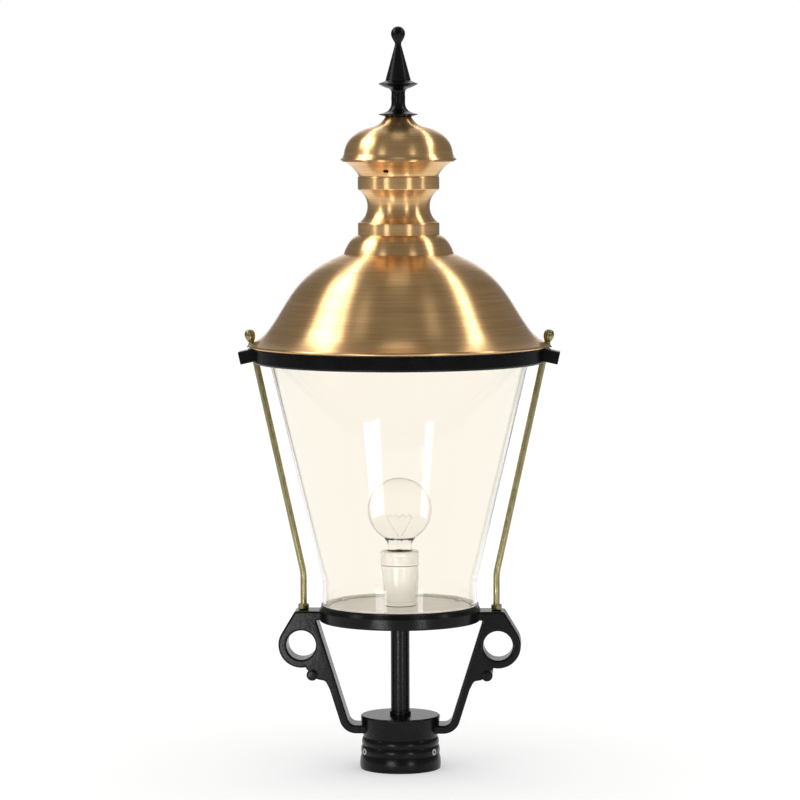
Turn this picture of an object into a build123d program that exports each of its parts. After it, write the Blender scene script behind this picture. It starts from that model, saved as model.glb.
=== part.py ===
from build123d import *
import math
import os

# Post top lantern: a cast collar and yoke that stand on a post, a tapered clear glass between a
# seat ring and a top ring held by two rods, and a spun copper hood with chimney, cap and finial.
# Millimetres, +Z up, origin at the centre of the collar's mouth; the two arms lie along X.

# ---- Post socket and collar ----
post_diameter = 76.0
post_clearance = 0.25
socket_depth = 58.0
collar_height = 67.0
collar_top_radius = 49.9
collar_top_edge = 2.0
collar_neck_radius = 46.6
bead_heights = (0.0, 18.4, 29.5, 40.0)
bead_radii = (49.9, 48.5, 47.5)
bead_bulge = 1.3
set_screw_radius = 3.95
set_screw_clearance = 0.05
set_screw_length = 11.5
set_screw_height = 23.5
set_screw_stand_back = 0.5
set_screw_count = 3
set_screw_tip = 1.0
set_screw_socket_width = 4.0
set_screw_socket_depth = 4.0

# ---- Stem: the tube that carries the seat and the supply cable ----
stem_radius = 11.8
stem_wall = 2.65
stem_clearance = 0.1
stem_foot_radius = 13.3
stem_foot_height = 4.5
stem_foot_edge = 0.8
stem_nut_width = 31.5
stem_nut_height = 6.0
stem_top_nut_width = 28.2
stem_top_nut_height = 3.6
stem_stand_up = 0.2
nut_edge = 0.8

# ---- Seat ring, base plate and gasket under the glass ----
seat_underside_height = 186.0
seat_height = 20.8
seat_radius = 101.0
seat_edge = 2.0
seat_step_height = 13.5
seat_step_slope = 5.0
seat_lip_radius = 98.6
seat_lip_wall = 1.5
seat_lip_height = 2.1
seat_ledge_radius = 79.0
seat_ledge_underside = 6.5
seat_wall = 9.5
plate_screw_start = 30.0
plate_radius = 88.4
plate_thickness = 3.0
plate_clearance = 0.1
plate_screw_circle = 83.6
plate_screw_count = 3
plate_screw_radius = 2.4
plate_screw_head_radius = 4.0
plate_screw_head_height = 2.4
plate_screw_dome = 1.9
plate_screw_depth = 6.0
foot_gasket_thickness = 2.5
foot_gasket_width = 8.0

# ---- Glass ----
glass_foot_radius = 96.5
glass_foot_height = 29.0
glass_height = 310.5
glass_top_radius = 163.3
glass_wall = 3.2
glass_crease_radius = 4.0

# ---- Top ring and its lugs ----
ring_wall = 14.7
ring_band_height = 18.5
ring_edge = 3.0
ring_flange_reach = 9.3
ring_flange_thickness = 7.0
ring_glass_clearance = 2.0
top_gasket_thickness = 2.5
top_gasket_width = 7.0
lug_stand_out = 2.6
lug_length = 18.5
lug_root = 12.0
lug_width = 28.0
lug_thickness = 16.0
lug_edge = 1.5
lug_washer_radius = 6.4
lug_washer_bore = 5.0
lug_washer_thickness = 1.2
lug_drop = 0.6
lug_gasket_gap = 0.8

# ---- Rods ----
rod_radius = 4.0
rod_clearance = 0.05
rod_foot_radius = 120.8
rod_bend_rise = 46.0
rod_bend_radius = 60.0
rod_thread_depth = 10.0
rod_lug_depth = 6.5
foot_nut_width = 13.0
foot_nut_height = 7.5

# ---- Yoke arms with their ring handles ----
arm_depth = 40.0
arm_edge = 2.2
strap_thickness = 10.4
strap_root_height = 50.5
strap_bend_radius = 16.0
strap_foot_radius = 66.3
strap_lean = 17.4
strap_end_drop = 7.3
arm_seat_overlap = 10.0
handle_reach = 122.9
handle_drop = 29.6
handle_outer_radius = 28.6
handle_hole_radius = 18.4
boss_rise = 13.2
boss_outer_radius = 130.5
pearl_reach = 109.2
pearl_drop = 67.0
pearl_radius = 6.8
pearl_stand_out = 2.5
pearl_roundness = 0.7
handle_tangent = 28.0
gusset_drop = 6.0
gusset_run = 9.5
gusset_slip = 1.6
gusset_tail = 10.0
gusset_corner = 6.0
boss_corner = 5.0

# ---- Lampholder ----
holder_base_radius = 20.0
holder_base_height = 5.5
holder_base_edge = 0.8
holder_wall = 3.0
holder_roof = 1.5
wire_hole_radius = 3.5
holder_foot_radius = 18.6
holder_shoulder_radius = 23.6
holder_body_height = 46.0
holder_floor_depth = 14.0
holder_ring_radius = 24.0
holder_ring_bore = 16.5
holder_ring_height = 17.5
holder_rib_width = 3.0
holder_rib_depth = 2.0
holder_rib_height = 30.0
screw_shell_wall = 0.8
holder_contact_radius = 4.5
holder_contact_height = 3.0

# ---- Bulb ----
bulb_radius = 40.0
bulb_wall = 1.2
bulb_cap_radius = 13.2
bulb_cap_height = 26.0
bulb_cap_taper = 3.0
bulb_cap_clearance = 0.1
bulb_insulator_radius = 8.0
bulb_foot_radius = 13.0
bulb_neck_height = 33.0
bulb_neck_radius = 15.2
bulb_tip_radius = 4.2
bulb_tip_height = 2.0
bulb_mount_foot = 7.0
bulb_mount_top = 2.5
bulb_mount_height = 40.0
filament_radius = 0.5
filament_span = 26.0
filament_rise = 26.0
filament_dip = 4.0
filament_peaks = 4

# ---- Hood: spun copper ----
copper_wall = 1.5
sheet_samples = 10
hood_gasket_thickness = 1.5
hood_gasket_width = 8.0
hood_gasket_inset = 6.0
hood_height = 114.5
hood_overhang = 6.2
hood_rim_drop = 1.6
hood_bead_radius = 1.6
hood_top_radius = 67.3
hood_opening_radius = 56.0
hood_ogee = ((0.0, 0.0), (0.052, 0.027), (0.115, 0.070), (0.170, 0.125), (0.230, 0.212),
             (0.341, 0.409), (0.445, 0.581), (0.595, 0.753), (0.767, 0.881), (1.0, 1.0))
stiffener_width = 6.0

# ---- Shoulder, neck, cap skirt and cap: spun copper ----
shoulder_height = 24.0
shoulder_opening_radius = 40.0
shoulder_start_slope = -0.6
shoulder_bow = ((0.0, 0.0), (0.40, 0.19), (0.72, 0.50), (0.91, 0.79), (1.0, 1.0))
neck_height = 72.5
neck_band_radius = 49.3
neck_band_height = 15.0
neck_step = 2.8
neck_waist_radius = 37.4
neck_waist_height = 37.0
neck_quarter = 0.18
neck_quarter_bow = 0.37
neck_opening_radius = 40.0
skirt_height = 20.5
skirt_top_radius = 66.4
skirt_lip = 3.0
skirt_flare = ((0.0, 0.0), (0.07, 0.16), (0.25, 0.40), (0.55, 0.69), (1.0, 1.0))
vent_width = 7.0
vent_height = 3.6
vent_rise = 7.5
vent_count = 3
vent_turn = -14.0
cap_height = 53.0
cap_top_radius = 14.8
cap_shoulder_radius = 66.6
cap_brim_radius = 70.6
cap_brim_edge = 0.8
cap_brim_rise = 3.6
cap_flick = 1.4
cap_bow = ((0.0, 0.0), (0.06, 0.083), (0.155, 0.172), (0.27, 0.232), (0.45, 0.283), (0.645, 0.360),
           (0.835, 0.496), (0.955, 0.685), (1.0, 0.870))

# ---- Finial and the rod that holds the stack down ----
finial_foot_radius = 14.0
finial_disc_radius = 24.1
finial_disc_height = 4.2
finial_disc_edge = 0.9
finial_spindle_radius = 8.7
finial_spindle_bow = ((1.0, 0.0), (0.254, 0.12), (0.034, 0.26), (0.0, 0.553), (0.056, 0.806),
                      (0.508, 0.894), (1.0, 1.0))
finial_upper_disc_height = 41.8
finial_cone_radius = 15.6
finial_cone_height = 46.6
finial_cone_edge = 1.0
finial_neck_radius = 3.7
finial_neck_height = 91.5
finial_ball_radius = 8.8
finial_ball_flare = 0.1
finial_ball_bow = ((0.90, 0.361), (1.0, 0.574), (0.77, 0.842))
finial_height = 112.2
finial_bore_depth = 22.0
tie_radius = 4.0
tie_clearance = 0.1
tie_engagement = 18.0
bridge_half_length = 62.0
bridge_width = 22.0
bridge_thickness = 4.0
tie_nut_width = 13.0
tie_nut_height = 6.5
tie_stand_out = 6.0

# ---- Thumb screws that hold the hood ----
bush_radius = 7.0
bush_flange = 1.4
bush_barrel_radius = 4.4
bush_barrel_height = 1.2
bush_gap = 0.4
bush_cut_length = 35.0
thumb_shank_radius = 3.0
thumb_clearance = 0.06
thumb_engagement = 6.0
thumb_socket_clearance = 0.3
thumb_tip = 0.6
thumb_neck_radius = 3.6
thumb_neck_height = 3.0
thumb_height = 18.7
thumb_radius = 6.8
thumb_widest = 0.64
thumb_flare = 0.7
thumb_washer_radius = 6.0
thumb_washer_thickness = 1.0
thumb_seat_clearance = 0.1

# ---- Heights that follow from the sizes above ----
seat_top = seat_underside_height + seat_height
boss_top_height = seat_underside_height + boss_rise
handle_height = seat_underside_height - handle_drop
pearl_height = seat_underside_height - pearl_drop
gasket_seat = seat_top - seat_lip_height
glass_bottom = gasket_seat + foot_gasket_thickness
glass_crease = glass_bottom + glass_foot_height
glass_top = glass_bottom + glass_height
plate_top = gasket_seat
plate_bottom = plate_top - plate_thickness
stem_top = plate_top + stem_top_nut_height + stem_stand_up
glass_slope = (glass_top_radius - glass_foot_radius) / (glass_top - glass_crease)
ring_top = glass_top + top_gasket_thickness + ring_flange_thickness
ring_bottom = ring_top - ring_band_height
ring_throat = glass_top_radius + ring_glass_clearance
ring_radius = ring_throat + ring_wall
ring_flange_radius = ring_throat - ring_flange_reach
lug_axis_radius = ring_radius + lug_stand_out
hood_gasket_radius = ring_radius - hood_gasket_inset
hood_rim_radius = ring_radius + hood_overhang
hood_seat = ring_top + hood_gasket_thickness
hood_top = hood_seat + hood_height
shoulder_top = hood_top + shoulder_height
neck_top = shoulder_top + neck_height
skirt_top = neck_top + skirt_height
cap_top = skirt_top + cap_height
rim_height = ring_top + hood_rim_drop + hood_bead_radius
holder_bottom = plate_top + holder_base_height
holder_top = holder_bottom + holder_body_height
holder_floor = holder_bottom + holder_floor_depth
holder_bore = bulb_cap_radius + bulb_cap_clearance + screw_shell_wall
bulb_cap_bottom = holder_floor + holder_contact_height + bulb_tip_height
bulb_cap_top = bulb_cap_bottom + bulb_cap_height

# ---- The rods' upper line, from the bend up through the lug: its plane's Z runs along the rod ----
bend_height = boss_top_height + rod_bend_rise
rod_lean = math.degrees(math.atan2(lug_axis_radius - rod_foot_radius, ring_top - bend_height))
lug_plane = Plane.XY.offset(ring_top).shift_origin((lug_axis_radius, 0, ring_top)).rotated((0, rod_lean, 0))
lug_top = -lug_drop
washer_top = lug_top + lug_washer_thickness
bush_bottom = washer_top + bush_gap
bush_top = bush_bottom + bush_barrel_height + bush_flange

UPRIGHT = (Align.CENTER, Align.CENTER, Align.MIN)
HANGING = (Align.CENTER, Align.CENTER, Align.MAX)


def left_of(shape):
    """The same piece on the lantern's left side."""
    return mirror(shape, Plane.YZ)


def turned(outline):
    """Solid turned about the lantern's axis from a closed outline of radius and height."""
    return revolve(Plane.XZ * make_face(outline), Axis.Z)


def ring(inner, outer, bottom, height):
    """Plain ring between two radii, standing on a height."""
    blank = Cylinder(outer, height, align=UPRIGHT)
    bore = Cylinder(inner, height, align=UPRIGHT)
    return Pos(0, 0, bottom) * (blank - bore)


def spun(curve, wall, side):
    """Spun sheet: an open outline and its parallel one wall away, turned about the axis."""
    parallel = Wire(curve.edges()).offset_2d(wall, kind=Kind.ARC, side=side, closed=True)
    edges = []
    for edge in parallel.edges():
        if edge.geom_type in (GeomType.LINE, GeomType.CIRCLE, GeomType.BSPLINE):
            edges.append(edge)
        else:
            edges.append(Spline([edge @ (step / sheet_samples) for step in range(sheet_samples + 1)]))
    return turned(edges)


def hex_nut(width, height, bore, edge):
    """Hexagon nut standing on XY, its corners chamfered round by a cone."""
    body = extrude(RegularPolygon(width / 2, 6, major_radius=False), height)
    corner = width / math.sqrt(3)
    cone = Cylinder(corner, height, align=UPRIGHT)
    cone = chamfer(cone.edges().filter_by(GeomType.CIRCLE), edge)
    return (body & cone) - Cylinder(bore, height, align=UPRIGHT)


def collar_blank():
    """Outer form of the collar, solid: three cast beads, a groove and a drafted upper part."""
    outline = [Line((0, 0), (bead_radii[0], 0))]
    for index, radius in enumerate(bead_radii):
        low = bead_heights[index]
        high = bead_heights[index + 1]
        above = (bead_radii + (collar_neck_radius,))[index + 1]
        outline.append(ThreePointArc((radius, low), (radius + bead_bulge, (low + high) / 2), (above, high)))
    draft_top = (collar_top_radius, collar_height - collar_top_edge)
    rim = (collar_top_radius - collar_top_edge, collar_height)
    outline.append(Line((collar_neck_radius, bead_heights[-1]), draft_top))
    outline.append(RadiusArc(draft_top, rim, -collar_top_edge))
    outline.append(Polyline(rim, (0, collar_height), (0, 0)))
    return turned(Curve() + outline)


def post_collar():
    """Hub with a blind socket for the post, tapped for the stem and three set screws."""
    socket = Cylinder(post_diameter / 2 + post_clearance, socket_depth, align=UPRIGHT)
    collar = collar_blank() - socket - Cylinder(stem_radius, collar_height, align=UPRIGHT)
    for turn in range(set_screw_count):
        collar -= set_screw_place(turn) * Cylinder(set_screw_radius + set_screw_clearance,
                                                   2 * set_screw_length)
    return collar


def set_screw_place(turn):
    """Where a set screw crosses the collar's wall: its own Z axis points outwards."""
    angle = 90 + turn * 360 / set_screw_count
    middle = post_diameter / 2 + post_clearance + set_screw_stand_back + set_screw_length / 2
    return Pos(0, 0, set_screw_height) * Rot(0, 0, angle) * Pos(middle, 0, 0) * Rot(0, 90, 0)


def set_screw(turn):
    """Headless screw with a hexagon socket in its outer end and a coned tip."""
    screw = Cylinder(set_screw_radius, set_screw_length)
    screw = chamfer(screw.edges().filter_by(GeomType.CIRCLE).sort_by(Axis.Z)[0], set_screw_tip)
    socket = extrude(RegularPolygon(set_screw_socket_width / 2, 6, major_radius=False),
                     set_screw_socket_depth)
    screw -= Pos(0, 0, set_screw_length / 2 - set_screw_socket_depth) * socket
    return set_screw_place(turn) * screw


def stem_tube():
    """Tube from the collar's roof up through the base plate; the supply cable runs inside."""
    return ring(stem_radius - stem_wall, stem_radius, socket_depth, stem_top - socket_depth)


def stem_foot_ring():
    """Round lock ring on the collar's top face."""
    lock_ring = ring(stem_radius, stem_foot_radius, collar_height, stem_foot_height)
    return chamfer(lock_ring.edges().group_by(Axis.Z)[-1].sort_by(SortBy.LENGTH)[-1], stem_foot_edge)


def seat_ring():
    """Cast ring under the glass: stepped outer wall, gasket seat and a ledge for the plate."""
    base = seat_underside_height
    outer = seat_radius
    step = base + seat_step_height
    lip_inner = seat_lip_radius - seat_lip_wall
    ledge_bottom = base + seat_ledge_underside
    low_edge = RadiusArc((outer - seat_edge, base), (outer, base + seat_edge), -seat_edge)
    wall = Polyline((outer, base + seat_edge), (outer, step), (seat_lip_radius, step + seat_step_slope),
                    (seat_lip_radius, seat_top), (lip_inner, seat_top), (lip_inner, gasket_seat),
                    (plate_radius + plate_clearance, gasket_seat),
                    (plate_radius + plate_clearance, plate_bottom), (seat_ledge_radius, plate_bottom),
                    (seat_ledge_radius, ledge_bottom), (outer - seat_wall, ledge_bottom),
                    (outer - seat_wall + seat_edge, base), (outer - seat_edge, base))
    casting = turned(Curve() + [low_edge, wall])
    return casting - plate_screw_holes()


def plate_screw_places():
    """The plate screws' places, evenly round the ledge."""
    return PolarLocations(plate_screw_circle, plate_screw_count, start_angle=plate_screw_start)


def plate_screw_holes():
    """Holes down through the plate and into the ledge."""
    hole = Cylinder(plate_screw_radius, plate_screw_depth + plate_thickness, align=HANGING)
    return [Pos(0, 0, plate_top) * place * hole for place in plate_screw_places()]


def base_plate():
    """Pale plate that closes the seat and carries the lampholder."""
    plate = ring(stem_radius + stem_clearance, plate_radius, plate_bottom, plate_thickness)
    return plate - plate_screw_holes()


def plate_screws():
    """Domed screws through the base plate."""
    shank = Cylinder(plate_screw_radius, plate_screw_depth + plate_thickness, align=HANGING)
    head = Cylinder(plate_screw_head_radius, plate_screw_head_height, align=UPRIGHT)
    head = fillet(head.edges().group_by(Axis.Z)[-1], plate_screw_dome)
    screw = shank + head
    return Compound([Pos(0, 0, plate_top) * place * screw for place in plate_screw_places()])


def foot_gasket():
    """Flat rubber ring between the seat and the glass."""
    outer = seat_lip_radius - seat_lip_wall - plate_clearance
    return ring(outer - foot_gasket_width, outer, gasket_seat, foot_gasket_thickness)


def glass_body():
    """Clear glass: a short straight foot, a soft crease and a long taper."""
    foot = (glass_foot_radius, glass_bottom)
    crease = (glass_foot_radius, glass_crease)
    rim = (glass_top_radius, glass_top)
    outer = FilletPolyline(foot, crease, rim, radius=glass_crease_radius)
    lean = math.atan(glass_slope)
    inner_crease = glass_crease + glass_wall * math.tan(lean / 2)
    inner_rim = glass_foot_radius - glass_wall + (glass_top - inner_crease) * glass_slope
    inner = FilletPolyline((glass_foot_radius - glass_wall, glass_bottom),
                           (glass_foot_radius - glass_wall, inner_crease),
                           (inner_rim, glass_top), radius=glass_crease_radius + glass_wall)
    ends = [Line(foot, (glass_foot_radius - glass_wall, glass_bottom)), Line(rim, (inner_rim, glass_top))]
    return turned(Curve() + [outer, inner] + ends)


def top_gasket():
    """Rubber ring between the glass rim and the top ring's flange."""
    outer = ring_throat - plate_clearance
    return ring(outer - top_gasket_width, outer, glass_top, top_gasket_thickness)


def rod_line():
    """Centre line of the right-hand rod, from inside the arm to inside the lug."""
    start = Vector(rod_foot_radius, 0, boss_top_height - rod_thread_depth)
    bend = Vector(rod_foot_radius, 0, bend_height)
    finish = lug_plane.from_local_coords(Vector(0, 0, lug_top - lug_thickness + rod_lug_depth))
    return FilletPolyline(start, bend, finish, radius=rod_bend_radius)


def rod():
    """Brass rod: upright above the arm, then leaning outwards up to the lug."""
    line = rod_line()
    start = Plane(origin=line @ 0, z_dir=line % 0)
    return sweep(start * Circle(rod_radius), path=line)


def foot_nut():
    """Hexagon nut that locks a rod on its arm."""
    nut = hex_nut(foot_nut_width, foot_nut_height, rod_radius + rod_clearance, nut_edge)
    return Pos(rod_foot_radius, 0, boss_top_height) * nut


def lug_bores():
    """Rod hole from below, and from above a coned socket that the tilted shank lifts straight out of."""
    rod_room = Cylinder(rod_radius + rod_clearance, rod_lug_depth + lug_thickness, align=HANGING)
    slack = thumb_engagement * math.tan(math.radians(rod_lean)) + thumb_socket_clearance
    narrow = thumb_shank_radius + thumb_socket_clearance
    socket = Cone(narrow, narrow + slack, thumb_engagement + thumb_socket_clearance, align=HANGING)
    return [lug_plane * Pos(0, 0, lug_top - lug_thickness + rod_lug_depth) * rod_room,
            lug_plane * Pos(0, 0, washer_top) * socket]


def lug():
    """Square-ended lug, before its holes are made."""
    middle = (lug_length - lug_root) / 2
    block = Pos(middle, 0, lug_top) * Box(lug_length + lug_root, lug_width, lug_thickness, align=HANGING)
    return lug_plane * fillet(block.faces().sort_by(Axis.X)[-1].edges(), lug_edge)


def lug_washer():
    """Plain washer on the lug, round the mouth of its socket."""
    washer = Cylinder(lug_washer_radius, lug_washer_thickness, align=UPRIGHT)
    washer -= Cylinder(lug_washer_bore, lug_washer_thickness, align=UPRIGHT)
    return lug_plane * Pos(0, 0, lug_top) * washer


def top_ring():
    """Cast ring over the glass, with a lug on each side for the rods and thumb screws."""
    glass_room = glass_top + top_gasket_thickness
    low_edge = RadiusArc((ring_radius - ring_edge, ring_bottom), (ring_radius, ring_bottom + ring_edge),
                         -ring_edge)
    outline = Polyline((ring_radius, ring_bottom + ring_edge), (ring_radius, ring_top),
                       (ring_flange_radius, ring_top), (ring_flange_radius, glass_room),
                       (ring_throat, glass_room), (ring_throat, ring_bottom),
                       (ring_radius - ring_edge, ring_bottom))
    casting = turned(low_edge + outline)
    under_gasket = Pos(0, 0, ring_top) * Cylinder(hood_gasket_radius + lug_gasket_gap, lug_thickness,
                                                  align=UPRIGHT)
    right = lug() - under_gasket
    casting = casting + right + left_of(right)
    for bore in lug_bores():
        casting = casting - bore - left_of(bore)
    return casting


def strap_reach(height):
    """How far out the strap's centre line is at a height on its straight run."""
    return strap_foot_radius + (height - strap_root_height) * math.tan(math.radians(strap_lean))


def strap_line():
    """Centre line of the strap from inside the collar out and up to the rod's boss."""
    top = boss_top_height - strap_end_drop
    return FilletPolyline((collar_neck_radius - arm_depth / 2, strap_root_height),
                          (strap_foot_radius, strap_root_height), (strap_reach(top), top),
                          radius=strap_bend_radius)


def arm_outline():
    """The arm seen from the front: strap, gusset and ring handle as one outline."""
    strap = make_face(Wire(strap_line().edges()).offset_2d(strap_thickness / 2, kind=Kind.ARC))
    tangent = math.radians(handle_tangent)
    handle_side = (handle_reach + handle_outer_radius * math.cos(tangent),
                   handle_height + handle_outer_radius * math.sin(tangent))
    under_pearl = (pearl_reach - pearl_radius, pearl_height - gusset_drop)
    gusset_end = (under_pearl[0] - gusset_run, under_pearl[1] - gusset_slip)
    low = gusset_end[1] - gusset_tail
    inside = seat_radius - arm_seat_overlap
    gusset = Polyline((inside, boss_top_height), (boss_outer_radius, boss_top_height), handle_side,
                      (handle_reach, handle_height),
                      (pearl_reach + pearl_radius, pearl_height + pearl_radius), under_pearl,
                      gusset_end, (strap_reach(low) + strap_thickness / 2, low),
                      (strap_reach(low), low),
                      (strap_reach(seat_underside_height + seat_edge), seat_underside_height + seat_edge),
                      (inside, seat_underside_height + seat_edge), close=True)
    handle = Pos(handle_reach, handle_height) * Circle(handle_outer_radius)
    outline = strap + make_face(gusset) + handle
    for corner, radius in ((gusset_end, gusset_corner),
                           ((boss_outer_radius, boss_top_height), boss_corner)):
        nearest = outline.vertices().sort_by_distance((corner[0], corner[1], 0))[0]
        outline = fillet(nearest, radius)
    return outline - Pos(handle_reach, handle_height) * Circle(handle_hole_radius)


def yoke_arm():
    """Right-hand arm: strap, ring handle, gusset, boss for the rod and a cast pearl."""
    arm = extrude(Plane.XZ * arm_outline(), arm_depth / 2, both=True)
    arm = fillet(arm.faces().filter_by(Axis.Y).edges(), arm_edge)
    pearl = Cylinder(pearl_radius, arm_depth + 2 * pearl_stand_out)
    pearl = fillet(pearl.edges().filter_by(GeomType.CIRCLE), pearl_radius * pearl_roundness)
    arm += Pos(pearl_reach, 0, pearl_height) * Rot(90, 0, 0) * pearl
    seat_blank = Cylinder(seat_radius, seat_height, align=UPRIGHT)
    rod_hole = Cylinder(rod_radius + rod_clearance, rod_thread_depth + rod_clearance, align=HANGING)
    arm = arm - collar_blank() - Pos(0, 0, seat_underside_height) * seat_blank
    return arm - Pos(rod_foot_radius, 0, boss_top_height) * rod_hole


def holder_base():
    """White stand under the lampholder, hollow over the stem's top nut."""
    cup = Cylinder(holder_base_radius, holder_base_height, align=UPRIGHT)
    cup = chamfer(cup.edges().filter_by(GeomType.CIRCLE).sort_by(Axis.Z)[-1], holder_base_edge)
    cup -= Cylinder(holder_base_radius - holder_wall, holder_base_height - holder_roof, align=UPRIGHT)
    cup -= Cylinder(wire_hole_radius, holder_base_height, align=UPRIGHT)
    return Pos(0, 0, plate_top) * cup


def holder_body():
    """Porcelain lampholder: widens upwards, open above its floor, a rib on its right side."""
    side = Line((holder_foot_radius, holder_bottom), (holder_shoulder_radius, holder_top))
    rest = Polyline((holder_shoulder_radius, holder_top), (holder_bore, holder_top),
                    (holder_bore, holder_floor), (wire_hole_radius, holder_floor),
                    (wire_hole_radius, holder_bottom), (holder_foot_radius, holder_bottom))
    body = turned(Curve() + [side, rest])
    rib_middle = (holder_top + holder_bottom) / 2
    rib = Pos(holder_shoulder_radius - holder_rib_depth, 0, rib_middle) * Box(
        2 * holder_rib_depth, holder_rib_width, holder_rib_height)
    return body + rib


def holder_ring():
    """Plain screw ring on top of the lampholder."""
    collar = ring(holder_ring_bore, holder_ring_radius, holder_top, holder_ring_height)
    return fillet(collar.edges().group_by(Axis.Z)[-1], holder_base_edge)


def screw_shell():
    """Brass shell that the bulb's cap screws into; the thread is left plain."""
    bottom = holder_floor + holder_contact_height
    return ring(bulb_cap_radius + bulb_cap_clearance, holder_bore, bottom, holder_top - bottom)


def holder_contact():
    """Centre contact on the lampholder's floor."""
    return Pos(0, 0, holder_floor) * Cylinder(holder_contact_radius, holder_contact_height,
                                              align=UPRIGHT)


def bulb_cap():
    """Screw cap of the bulb, coned in towards its insulator."""
    taper = Cone(bulb_insulator_radius, bulb_cap_radius, bulb_cap_taper, align=UPRIGHT)
    shell = Cylinder(bulb_cap_radius, bulb_cap_height - bulb_cap_taper, align=UPRIGHT)
    return Pos(0, 0, bulb_cap_bottom) * (taper + Pos(0, 0, bulb_cap_taper) * shell)


def bulb_tip():
    """Centre contact of the bulb."""
    tip = Cylinder(bulb_tip_radius, bulb_tip_height, align=UPRIGHT)
    return Pos(0, 0, bulb_cap_bottom - bulb_tip_height) * tip


def bulb_envelope(inset):
    """Outer form of the glass bulb, drawn a given way inside its surface."""
    sphere = bulb_radius - inset
    neck = bulb_neck_radius - inset
    middle = bulb_cap_top + bulb_neck_height + math.sqrt(bulb_radius**2 - bulb_neck_radius**2)
    join = middle - math.sqrt(sphere**2 - neck**2)
    foot = bulb_foot_radius - inset
    bottom = bulb_cap_top
    globe = ThreePointArc((neck, join), (sphere, middle), (0, middle + sphere))
    sides = Polyline((0, middle + sphere), (0, bottom), (foot, bottom), (neck, join))
    return turned(Curve() + [globe, sides])


def bulb_globe():
    """Clear round bulb with a short neck."""
    return bulb_envelope(0) - bulb_envelope(bulb_wall)


def bulb_mount():
    """Glass pillar inside the bulb, drawn in towards its top."""
    pillar = Cone(bulb_mount_foot, bulb_mount_top, bulb_mount_height, align=UPRIGHT)
    return Pos(0, 0, bulb_cap_top) * pillar


def bulb_filament():
    """One wire: up from the pillar, across in shallow peaks and back down."""
    base = bulb_cap_top + bulb_mount_height - filament_radius
    crest = base + filament_rise
    step = filament_span / (2 * filament_peaks)
    points = [(-filament_radius, 0, base)]
    for index in range(2 * filament_peaks + 1):
        dip = 0 if index % 2 else filament_dip
        points.append((index * step - filament_span / 2, 0, crest - dip))
    points.append((filament_radius, 0, base))
    line = Polyline(points)
    start = Plane(origin=line @ 0, z_dir=line % 0)
    wire = sweep(start * Circle(filament_radius), path=line, transition=Transition.RIGHT)
    return wire - bulb_mount()


def hood_curve():
    """Ogee of the hood: a domed top that turns into a flare at the rim."""
    rise = hood_top - rim_height
    drop = hood_rim_radius - hood_top_radius
    points = [(hood_rim_radius - drop * inward, rim_height + rise * up) for inward, up in hood_ogee]
    flat = Line((hood_opening_radius, hood_top), (hood_top_radius, hood_top))
    return flat + Spline(points[::-1])


def hood_shell():
    """Spun copper hood with a wired rim, cut round the two bushes."""
    shell = spun(hood_curve(), copper_wall, Side.RIGHT)
    wired_edge = turned(Pos(hood_rim_radius - copper_wall, rim_height) * Circle(hood_bead_radius).edge())
    shell += wired_edge
    cutter = lug_plane * Cylinder(bush_radius, bush_cut_length)
    return shell - cutter - left_of(cutter)


def rim_stiffener():
    """Ring soldered inside the flare; the hood stands on it."""
    block = ring(hood_gasket_radius - stiffener_width, hood_gasket_radius, hood_seat, hood_height / 2)
    below = (block - spun(hood_curve(), copper_wall, Side.RIGHT)).solids().sort_by(Axis.Z)[0]
    return below


def hood_gasket():
    """Rubber ring between the top ring and the hood."""
    return ring(hood_gasket_radius - hood_gasket_width, hood_gasket_radius, ring_top,
                hood_gasket_thickness)


def hood_bush():
    """Brass bush soldered in the flare: a flange over a short barrel, bored for the thumb screw."""
    barrel = Cylinder(bush_barrel_radius, bush_barrel_height, align=UPRIGHT)
    flange = Pos(0, 0, bush_barrel_height) * Cylinder(bush_radius, bush_flange, align=UPRIGHT)
    bore = Cylinder(thumb_shank_radius + thumb_clearance, bush_top, align=UPRIGHT)
    return lug_plane * Pos(0, 0, bush_bottom) * (barrel + flange - bore)


def thumb_washer():
    """Thin washer between the bush and the thumb screw."""
    washer = Cylinder(thumb_washer_radius, thumb_washer_thickness, align=UPRIGHT)
    washer -= Cylinder(thumb_shank_radius + thumb_clearance, thumb_washer_thickness, align=UPRIGHT)
    return lug_plane * Pos(0, 0, bush_top) * washer


def thumb_screw():
    """Egg-shaped thumb screw on a plain shank."""
    seat = bush_top + thumb_washer_thickness + thumb_seat_clearance
    egg = Spline((thumb_neck_radius, thumb_neck_height), (thumb_radius, thumb_height * thumb_widest),
                 (0, thumb_height), tangents=((thumb_flare, 1), (-1, 0)))
    sides = Polyline((0, thumb_height), (0, 0), (thumb_neck_radius, 0),
                     (thumb_neck_radius, thumb_neck_height))
    head = turned(egg + sides)
    reach = seat - washer_top + thumb_engagement
    shank = Cylinder(thumb_shank_radius, reach, align=HANGING)
    shank = chamfer(shank.edges().filter_by(GeomType.CIRCLE).sort_by(Axis.Z)[0], thumb_tip)
    return lug_plane * Pos(0, 0, seat) * (head + shank)


def shoulder():
    """Spun shoulder between the hood and the neck."""
    drop = shoulder_height
    spread = hood_top_radius - neck_band_radius
    points = [(neck_band_radius + spread * out, shoulder_top - drop * down) for out, down in shoulder_bow]
    flat = Line((shoulder_opening_radius, shoulder_top), points[0])
    return spun(flat + Spline(points, tangents=((1, shoulder_start_slope), (0, -1))), copper_wall, Side.RIGHT)


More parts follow.
